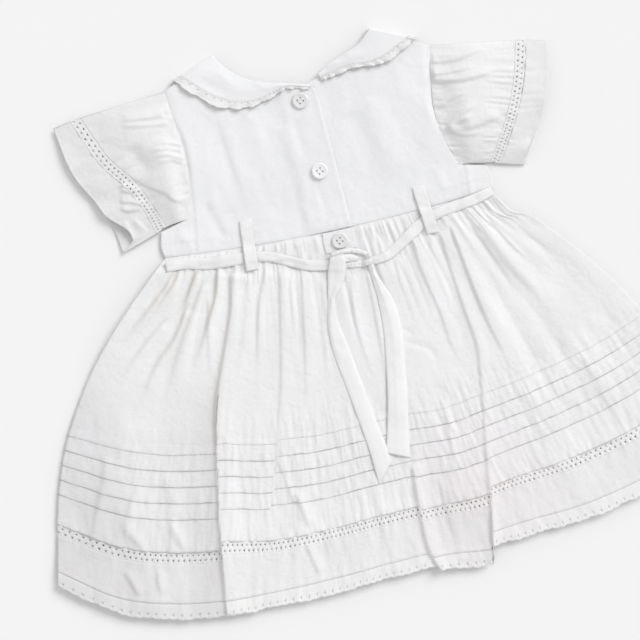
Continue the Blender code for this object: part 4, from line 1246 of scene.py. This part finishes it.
sashRuns = {
    "sash_left": {"columns": 110, "slant": 0.0, "points": (
        spot(-142.5, -3.0, 9.5, 0.4, 0.30, 0.3),
        spot(-126.0, -3.5, 9.5, 0.5, 0.35, 0.4),
        spot(-108.0, -7.5, 10.0, 0.5, 0.62, 0.5),
        spot(-90.0, -8.5, 10.5, 0.5, 0.55, 0.4),
        spot(-72.0, -9.5, 10.0, 0.4, 0.45, 0.3),
        spot(-54.0, -13.0, 9.0, 0.6, 0.2, 1.1),
        spot(-38.0, -20.5, 9.0, 0.8, 0.8, 0.8),
        spot(-24.0, -26.5, 9.5, 0.9, 0.6, 0.6),
        spot(-10.0, -29.5, 9.0, 0.8, 0.5, 0.5),
        spot(4.0, -31.0, 7.0, 0.6, 0.5, 0.4))},
    "sash_right": {"columns": 96, "slant": 0.0, "points": (
        spot(24.0, -34.0, 6.5, 0.8, 0.4, 0.9),
        spot(33.0, -33.8, 7.5, 0.9, 0.5, 0.9),
        spot(43.0, -32.0, 8.0, 0.9, 0.6, 0.7),
        spot(55.0, -25.5, 9.0, 0.8, 0.7, 0.6),
        spot(69.0, -16.5, 10.0, 0.5, 0.6, 0.5),
        spot(83.0, -9.0, 9.5, 0.5, 0.4, 0.5),
        spot(97.0, -5.0, 9.0, 0.5, 0.35, 0.6),
        spot(112.0, -3.0, 9.0, 0.5, 0.5, 0.5),
        spot(127.0, -0.5, 9.0, 0.5, 0.6, 0.4),
        spot(141.5, 3.0, 8.0, 0.4, 0.5, 0.3))},
    "sash_tail_right": {"columns": 120, "slant": 4.0, "points": (
        spot(27.5, -37.0, 5.0, 0.6, 0.5, 1.4),
        spot(28.5, -46.0, 6.0, 0.8, 0.5, 1.6),
        spot(31.0, -58.0, 9.0, 0.6, 0.45, 1.4),
        spot(34.0, -74.0, 14.0, 0.6, 0.45, 1.3),
        spot(34.0, -98.0, 16.5, 0.6, 0.5, 1.2),
        spot(30.5, -124.0, 16.5, 0.7, 0.5, 1.1),
        spot(26.5, -150.0, 17.0, 0.8, 0.48, 1.0),
        spot(21.5, -176.0, 18.5, 0.8, 0.5, 0.8),
        spot(16.5, -200.0, 21.0, 0.7, 0.5, 0.5))},
    "sash_tail_left": {"columns": 140, "slant": -16.0, "points": (
        spot(1.5, -20.5, 10.0, -0.6, 0.55, 0.5),
        spot(0.0, -30.0, 14.5, 0.4, 0.6, 0.6),
        spot(-3.0, -40.0, 15.0, 0.7, 0.62, 0.8),
        spot(-7.5, -50.0, 10.5, 0.7, 0.7, 1.2),
        spot(-11.5, -60.0, 6.4, 0.6, 0.5, 1.8),
        spot(-14.0, -78.0, 9.5, 0.6, 0.25, 1.0),
        spot(-12.5, -100.0, 14.0, 0.6, 0.3, 0.6),
        spot(-8.5, -127.0, 14.5, 0.6, 0.5, 0.4),
        spot(-4.0, -158.0, 14.0, 0.6, 0.5, 0.4),
        spot(0.5, -188.0, 15.0, 0.6, 0.4, 0.5),
        spot(3.0, -212.0, 17.0, 0.6, 0.4, 0.4))},
}
sashFlats = {"sash_left": (0.150, 0.0110), "sash_right": (0.132, 0.0105), "sash_tail_left": (0.195, 0.0150),
             "sash_tail_right": (0.168, 0.0155)}


ribbon = {"rows": 14, "wall": 0.6, "height": 0.5, "fold": 0.75, "edgeDrop": 0.8}


def ribbonPlace(table):
    points = table["points"]
    knots = np.linspace(0, 1, len(points))

    def column(key, at):
        return smoothTable(knots, [p[key] for p in points], at)

    fine = np.linspace(0, 1, 90)
    sample = np.stack([column("x", fine), column("y", fine)], 1)
    run = np.gradient(sample, axis=0)
    run /= np.hypot(run[:, 0], run[:, 1])[:, None]
    half = column("width", fine) / 2
    ground = np.max([tops.over(sample[:, 0] - run[:, 1] * half * k, sample[:, 1] + run[:, 0] * half * k)
                     for k in (-0.9, -0.45, 0, 0.45, 0.9)], axis=0)
    window = np.hanning(9) / np.hanning(9).sum()
    ground = np.convolve(np.pad(ground, 4, mode="edge"), window, mode="valid")

    def place(along, across):
        x, y = column("x", along), column("y", along)
        rx, ry = np.interp(along, fine, run[:, 0]), np.interp(along, fine, run[:, 1])
        size = np.hypot(rx, ry)
        rx, ry = rx / size, ry / size
        aside = (across - 0.5) * column("width", along)
        end = table["slant"] * (across - 0.5) * softStep((along - 0.8) * 5.0)
        x, y = x - ry * aside + rx * end, y + rx * aside + ry * end
        past = across - column("crease", along)
        fold = ribbon["fold"] * column("fold", along) * np.where(past > 0, bell(past, 0.42), bell(past, 0.16))
        edge = bell(across, 0.1) + bell(across - 1, 0.1)
        wrinkle = 0.25 * drift(along * 34 + 20, across * 2.4, 181) - ribbon["edgeDrop"] * edge
        over = column("over", along) * (1.0 - 0.7 * across)
        z = np.interp(along, fine, ground) + over + ribbon["height"] + fold + wrinkle
        return x, y, z

    return place


# The knot: the runs cross under the left tail, a crumpled turn of band lies above them, and a thin
# loop of it leaves a small eye on the right
knotBands = {
    "sash_knot": {"columns": 80, "slant": 0.0, "points": (
        spot(1.0, -30.5, 8.0, 0.5, 0.5, 0.4),
        spot(8.0, -32.0, 7.5, 0.6, 0.4, 0.7),
        spot(15.0, -33.6, 6.5, 0.7, 0.6, 0.8),
        spot(22.0, -34.6, 5.5, 0.8, 0.5, 0.8),
        spot(29.0, -34.2, 5.0, 0.7, 0.5, 0.6))},
    "sash_knot_turn": {"columns": 60, "slant": 0.0, "points": (
        spot(3.0, -26.0, 7.0, 0.4, 0.4, 0.9),
        spot(8.0, -26.8, 7.5, 0.6, 0.6, 1.1),
        spot(13.0, -28.0, 6.5, 0.5, 0.45, 1.0),
        spot(18.0, -30.2, 3.5, 0.2, 0.5, 0.5))},
    "sash_knot_loop": {"columns": 76, "slant": 0.0, "points": (
        spot(-3.5, -22.6, 3.4, -0.2, 0.5, 0.5),
        spot(3.0, -21.4, 3.8, 0.2, 0.5, 0.6),
        spot(11.0, -21.4, 3.8, 0.5, 0.5, 0.7),
        spot(18.0, -23.0, 4.0, 0.8, 0.5, 0.7),
        spot(24.0, -26.2, 4.0, 0.8, 0.5, 0.6),
        spot(29.0, -30.4, 4.0, 0.4, 0.5, 0.6))},
}
sashFlats.update({"sash_knot": (0.030, 0.0100), "sash_knot_turn": (0.017, 0.0100),
                  "sash_knot_loop": (0.029, 0.0100)})
ribbons = {**sashRuns, **knotBands}
for name in ("sash_left", "sash_right", "sash_tail_right", "sash_knot", "sash_knot_turn", "sash_tail_left",
             "sash_knot_loop"):
    node = "sash_knot" if name in knotBands else name
    finish = "sash" if name == "sash_left" else "tails"
    clothPiece(name, ribbons[name]["columns"], ribbon["rows"], ribbonPlace(ribbons[name]), finish,
               "cotton_lawn", (node,), sashFlats[name], wall=ribbon["wall"])

loops = {"left": ((-69.0, 22.0), (-71.5, -20.5)), "right": ((80.2, 20.0), (84.6, -22.5))}
loopWidth = 10.5


def loopPlace(label):
    top, bottom = loops[label]
    fine = np.linspace(0, 1, 60)
    cx, cy = lean(mix(top[0], bottom[0], fine), mix(top[1], bottom[1], fine))
    ground = np.max([tops.over(cx + k * loopWidth / 2, cy) for k in (-0.9, -0.3, 0.3, 0.9)], axis=0)
    window = np.hanning(11) / np.hanning(11).sum()
    ground = np.convolve(np.pad(ground, 5, mode="edge"), window, mode="valid")

    def place(along, across):
        x = mix(top[0], bottom[0], along) + (across - 0.5) * loopWidth
        y = mix(top[1], bottom[1], along)
        ends = bell(along, 0.05) + bell(along - 1, 0.05)
        edge = bell(across, 0.08) + bell(across - 1, 0.08)
        rise = 1.2 * np.sin(math.pi * along) ** 0.5
        uneven = 0.3 * drift(along * 9, across * 2, 191) - 0.35 * edge - 0.3 * ends
        z = np.interp(along, fine, ground) + 0.8 + rise + uneven
        x, y = lean(x, y)
        return x, y, z

    return place


for label in loops:
    name = "belt_loop_" + label
    clothPiece(name, 60, 14, loopPlace(label), "tails", "cotton_lawn", (name,), (0.046, 0.0105), wall=0.7)
print("sash tied")


button = {"radius": 7.0, "thickness": 2.4, "hole": 0.7, "spacing": 1.8, "dish": 0.7, "rim": 1.5, "turn": 0.5}


def makeButton(label):
    node = "button_" + label
    low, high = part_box(node)
    centre = (low + high) / 2
    x, y = centre.x / mm, centre.y / mm - belowWaist
    around = tops.over(x + np.array([-5, 0, 5, 0, 0]), y + np.array([0, 0, 0, 5, -5]))
    base = float(np.max(around)) + 0.2
    rim, thick = button["rim"], button["thickness"]
    floorHeight = thick - button["dish"]
    profile = ((0.01, 0.0), (5.8, 0.0), (6.7, 0.3), (7.0, 0.8), (6.95, 1.3), (6.6, 1.8), (5.9, thick - 0.3),
               (button["radius"] - rim, thick - 0.35), (4.7, floorHeight), (2.6, floorHeight - 0.1),
               (0.01, floorHeight - 0.1))
    shape = bmesh.new()
    verts = [shape.verts.new((r * mm, 0.0, z * mm)) for r, z in profile]
    edges = [shape.edges.new(pair) for pair in zip(verts, verts[1:])]
    bmesh.ops.spin(shape, geom=verts + edges, cent=(0, 0, 0), axis=(0, 0, 1), angle=2 * math.pi,
                   steps=48, use_merge=True)
    bmesh.ops.remove_doubles(shape, verts=shape.verts[:], dist=0.02 * mm)
    bmesh.ops.recalc_face_normals(shape, faces=shape.faces[:])
    mesh = bpy.data.meshes.new(node + "_turned")
    shape.to_mesh(mesh)
    shape.free()
    turned = bpy.data.objects.new(node + "_turned", mesh)
    bpy.context.scene.collection.objects.link(turned)
    drill = bmesh.new()
    half = button["spacing"]
    for a in (-1, 1):
        for b in (-1, 1):
            spot = Matrix.Translation((a * half * mm, b * half * mm, thick / 2 * mm))
            bmesh.ops.create_cone(drill, cap_ends=True, segments=14, radius1=button["hole"] * mm,
                                  radius2=button["hole"] * mm, depth=3 * thick * mm, matrix=spot)
    drillMesh = bpy.data.meshes.new(node + "_drill")
    drill.to_mesh(drillMesh)
    drill.free()
    cutter = bpy.data.objects.new(node + "_drill", drillMesh)
    bpy.context.scene.collection.objects.link(cutter)
    cut = turned.modifiers.new("holes", "BOOLEAN")
    cut.object = cutter
    cut.operation = "DIFFERENCE"
    cut.solver = "EXACT"
    bpy.context.view_layer.update()
    drilled = bpy.data.meshes.new_from_object(turned.evaluated_get(bpy.context.evaluated_depsgraph_get()))
    where = Matrix.Translation((centre.x, centre.y, base * mm))
    drilled.transform(where @ Matrix.Rotation(button["turn"], 4, "Z"))
    drilled.name = node
    for item in (turned, cutter):
        bpy.data.objects.remove(item, do_unlink=True)
    # the top and bottom buttons take the darker pearl copy, painted shade
    finish = "pearl" if label == "middle" else "paintedShadePearl"
    piece = keepPiece(node + "_pearl", drilled, finish, (node,))
    drilled.set_sharp_from_angle(angle=math.radians(50.0))
    return piece, (x, y, base)


buttonSpots = {label: makeButton(label) for label in ("top", "middle", "bottom")}


def threadRows():
    # two stitches through the four holes of each button
    cos, sin = math.cos(button["turn"]), math.sin(button["turn"])
    rows = []
    for _piece, (x, y, base) in buttonSpots.values():
        high = base + button["thickness"] - button["dish"] + 0.1
        for side in (-1, 1):
            ends = []
            for b in (-1, 1):
                ax, ay = side * button["spacing"], b * button["spacing"]
                ends.append((x + ax * cos - ay * sin, y + ax * sin + ay * cos, high))
            rows.append(tuple(ends))
    return rows


shape = bmesh.new()
stitchRow(shape, threadRows(), thick=(0.7, 0.6))
mesh = bpy.data.meshes.new("button_threads")
shape.to_mesh(mesh)
shape.free()
keepPiece("button_threads", mesh, "thread")
print("buttons sewn on")


# Where the stitching lies
def onTop(x, y):
    return float(tops.over(x, y)) + 0.02


def curveLine(points, shift, count=60):
    x, y = curvePoint(points, np.linspace(0.0, 1.0, count))
    return np.stack(lean(x + shift, y), 1)


def skirtLine(down, start=-0.97, end=0.97, count=240):
    share = np.linspace(start, end, count)
    return np.stack(skirtPlace(share, np.full(count, float(down))), 1)


# a small box of stitches at each end of a belt loop, and a line down each of its sides
loopBoxes = []
boxInset = {"side": loopWidth / 2 - 0.9, "near": 0.8, "far": 7.4, "line": 8}
for label, (top, bottom) in loops.items():
    side, near, far = boxInset["side"], boxInset["near"], boxInset["far"]
    for end, other in ((top, bottom), (bottom, top)):
        inward = 1.0 if other[1] > end[1] else -1.0
        corners = [(end[0] + a * side, end[1] + inward * b)
                   for a, b in ((-1, near), (1, near), (1, far), (-1, far), (-1, near))]
        loopBoxes.append([lean(*c) for c in corners])
    for a in (-1, 1):
        loopBoxes.append([lean(top[0] + a * side, top[1] - boxInset["line"]),
                          lean(bottom[0] + a * side, bottom[1] + boxInset["line"])])

placketStitches = [(placket["left"] + 1.0, placket["bottom"] + 1.2),
                   (placket["right"] - 1.4, placket["bottom"] + 1.2)]
stitchRows = [
    stitchesAlong(curveLine(lapEdge, shift=-2.4), onTop),
    stitchesAlong(skirtLine(288.2), onTop, step=2.4),
    stitchesAlong(placketStitches, onTop),
]
for box in loopBoxes:
    stitchRows.append(stitchesAlong(box, onTop, step=2.2))
stitchPiece("visible_stitching", stitchRows)
print("stitches:", sum(len(row) for row in stitchRows))


# The camera looks straight down, under one soft key light and an even sky
view = {"centre": (-24.4, -3.9), "height": 1500.0, "frame": 544.0, "tilt": -12.0, "sensor": 36.0}
camera = bpy.data.objects.new("overhead_camera", bpy.data.cameras.new("overhead_camera"))
camera.data.sensor_width = view["sensor"]
camera.data.lens = view["sensor"] * view["height"] / view["frame"]
camera.data.clip_end = 20.0
camera.location = (view["centre"][0] * mm, view["centre"][1] * mm, view["height"] * mm)
camera.rotation_euler = (0.0, 0.0, math.radians(view["tilt"]))
bpy.context.scene.collection.objects.link(camera)
bpy.context.scene.camera = camera

studio = {"fill": 0.67, "key": 1.58, "keyFrom": (0.64, 0.44, 0.66), "softness": 30.0,
          "floor": (0.912, 0.912, 0.912)}
sun = bpy.data.objects.new("soft_key", bpy.data.lights.new("soft_key", "SUN"))
sun.data.energy = studio["key"]
sun.data.angle = math.radians(studio["softness"])
sun.rotation_euler = Vector(studio["keyFrom"]).to_track_quat("Z", "Y").to_euler()
bpy.context.scene.collection.objects.link(sun)

world = bpy.data.worlds.new("studio")
world.use_nodes = True
world.node_tree.nodes["Background"].inputs[0].default_value = (1.0, 1.0, 1.0, 1.0)
world.node_tree.nodes["Background"].inputs[1].default_value = studio["fill"]
bpy.context.scene.world = world
bpy.context.scene.view_settings.view_transform = "Standard"

ground = bmesh.new()
bmesh.ops.create_grid(ground, x_segments=2, y_segments=2, size=4.0)
floorMesh = bpy.data.meshes.new("floor")
ground.to_mesh(floorMesh)
ground.free()
floor = bpy.data.objects.new("floor", floorMesh)
floorFinish = bpy.data.materials.new("pale_floor")
floorFinish.use_nodes = True
floorShader = floorFinish.node_tree.nodes["Principled BSDF"]
floorShader.inputs["Base Color"].default_value = (*studio["floor"], 1.0)
floorShader.inputs["Roughness"].default_value = 1.0
floorShader.inputs["Specular IOR Level"].default_value = 0.0
floorMesh.materials.append(floorFinish)
bpy.context.scene.collection.objects.link(floor)


# What each sheet was cut to: flat width and length and its cloth's area in metres, how it is held,
# what it rests on and the pieces that go with it
def cut(wide, deep, area, held, on, others=()):
    return {"flat": (wide, deep), "area": area, "held": held, "on": on, "others": others}


cuts = {
    "skirt_front": cut(0.50, 0.250, 0.112, "gathered", ("floor",)),
    "hem_band_front": cut(0.575, 0.034, 0.0195, "laid", ("floor",)),
    "skirt_lace_front": cut(0.57, 0.0105, 0.0059, "laid", ("floor",)),
    "hem_edging_front": cut(0.585, 0.013, 0.0075, "laid", ("floor",)),
    "bodice_front": cut(0.285, 0.160, 0.0297, "laid", ("floor",)),
    "skirt_back_gathered": cut(0.46, 0.180, 0.0725, "gathered", ("skirt_front",)),
    "skirt_back_tucks": cut(0.57, 0.112, 0.050, "folded", ("skirt_front",)),
    "hem_band_back": cut(0.575, 0.034, 0.0195, "laid", ("hem_band_front",)),
    "skirt_lace_back": cut(0.57, 0.0105, 0.0058, "laid", ("skirt_lace_front",)),
    "hem_edging_back": cut(0.585, 0.013, 0.0075, "laid", ("hem_edging_front",)),
    "bodice_back_right": cut(0.165, 0.150, 0.018, "laid", ("bodice_front",),
        others=("button_top_pearl", "button_middle_pearl", "button_bottom_pearl", "button_threads")),
    "bodice_back_left": cut(0.162, 0.150, 0.0193, "laid", ("bodice_front", "bodice_back_right"),
        others=("visible_stitching",)),
    "placket_lap": cut(0.0275, 0.018, 0.00048, "laid", ("skirt_back_gathered",)),
    "collar_left": cut(0.205, 0.031, 0.0048, "folded", ("bodice_back_left",)),
    "collar_lace_left": cut(0.230, 0.010, 0.0016, "gathered", ("bodice_back_left",)),
    "collar_right": cut(0.195, 0.028, 0.0041, "folded", ("bodice_back_right",)),
    "collar_lace_right": cut(0.210, 0.010, 0.00135, "gathered", ("bodice_back_right",)),
    "sleeve_left": cut(0.235, 0.082, 0.0120, "gathered", ("floor",)),
    "sleeve_lace_left": cut(0.235, 0.0105, 0.0022, "gathered", ("floor",)),
    "sleeve_frill_left": cut(0.240, 0.040, 0.0060, "gathered", ("floor",)),
    "sleeve_right": cut(0.240, 0.082, 0.0132, "gathered", ("floor",)),
    "sleeve_lace_right": cut(0.215, 0.010, 0.0019, "gathered", ("floor",)),
    "sleeve_frill_right": cut(0.225, 0.031, 0.0043, "gathered", ("floor",)),
    "sash_left": cut(0.150, 0.0105, 0.0015, "folded", ("skirt_back_gathered",),
        others=("sash_knot", "sash_knot_turn", "sash_knot_loop")),
    "sash_right": cut(0.125, 0.010, 0.0012, "folded", ("skirt_back_gathered",)),
    "sash_tail_right": cut(0.170, 0.0175, 0.0027, "folded", ("skirt_back_gathered", "skirt_back_tucks")),
    "sash_tail_left": cut(0.200, 0.015, 0.0027, "folded", ("skirt_back_gathered", "skirt_back_tucks")),
    "belt_loop_left": cut(0.046, 0.0105, 0.00048, "laid", ("sash_left",)),
    "belt_loop_right": cut(0.045, 0.0105, 0.00046, "laid", ("sash_right",)),
}


def pieceNamed(name):
    if name == "floor":
        return floor
    return made.get(name + "_cloth") or made[name]


for name, row in cuts.items():
    pieceNamed(name)
    [pieceNamed(n) for n in row["on"]]
    [pieceNamed(n) for n in row["others"]]
print("sheets cut:", len(cuts))
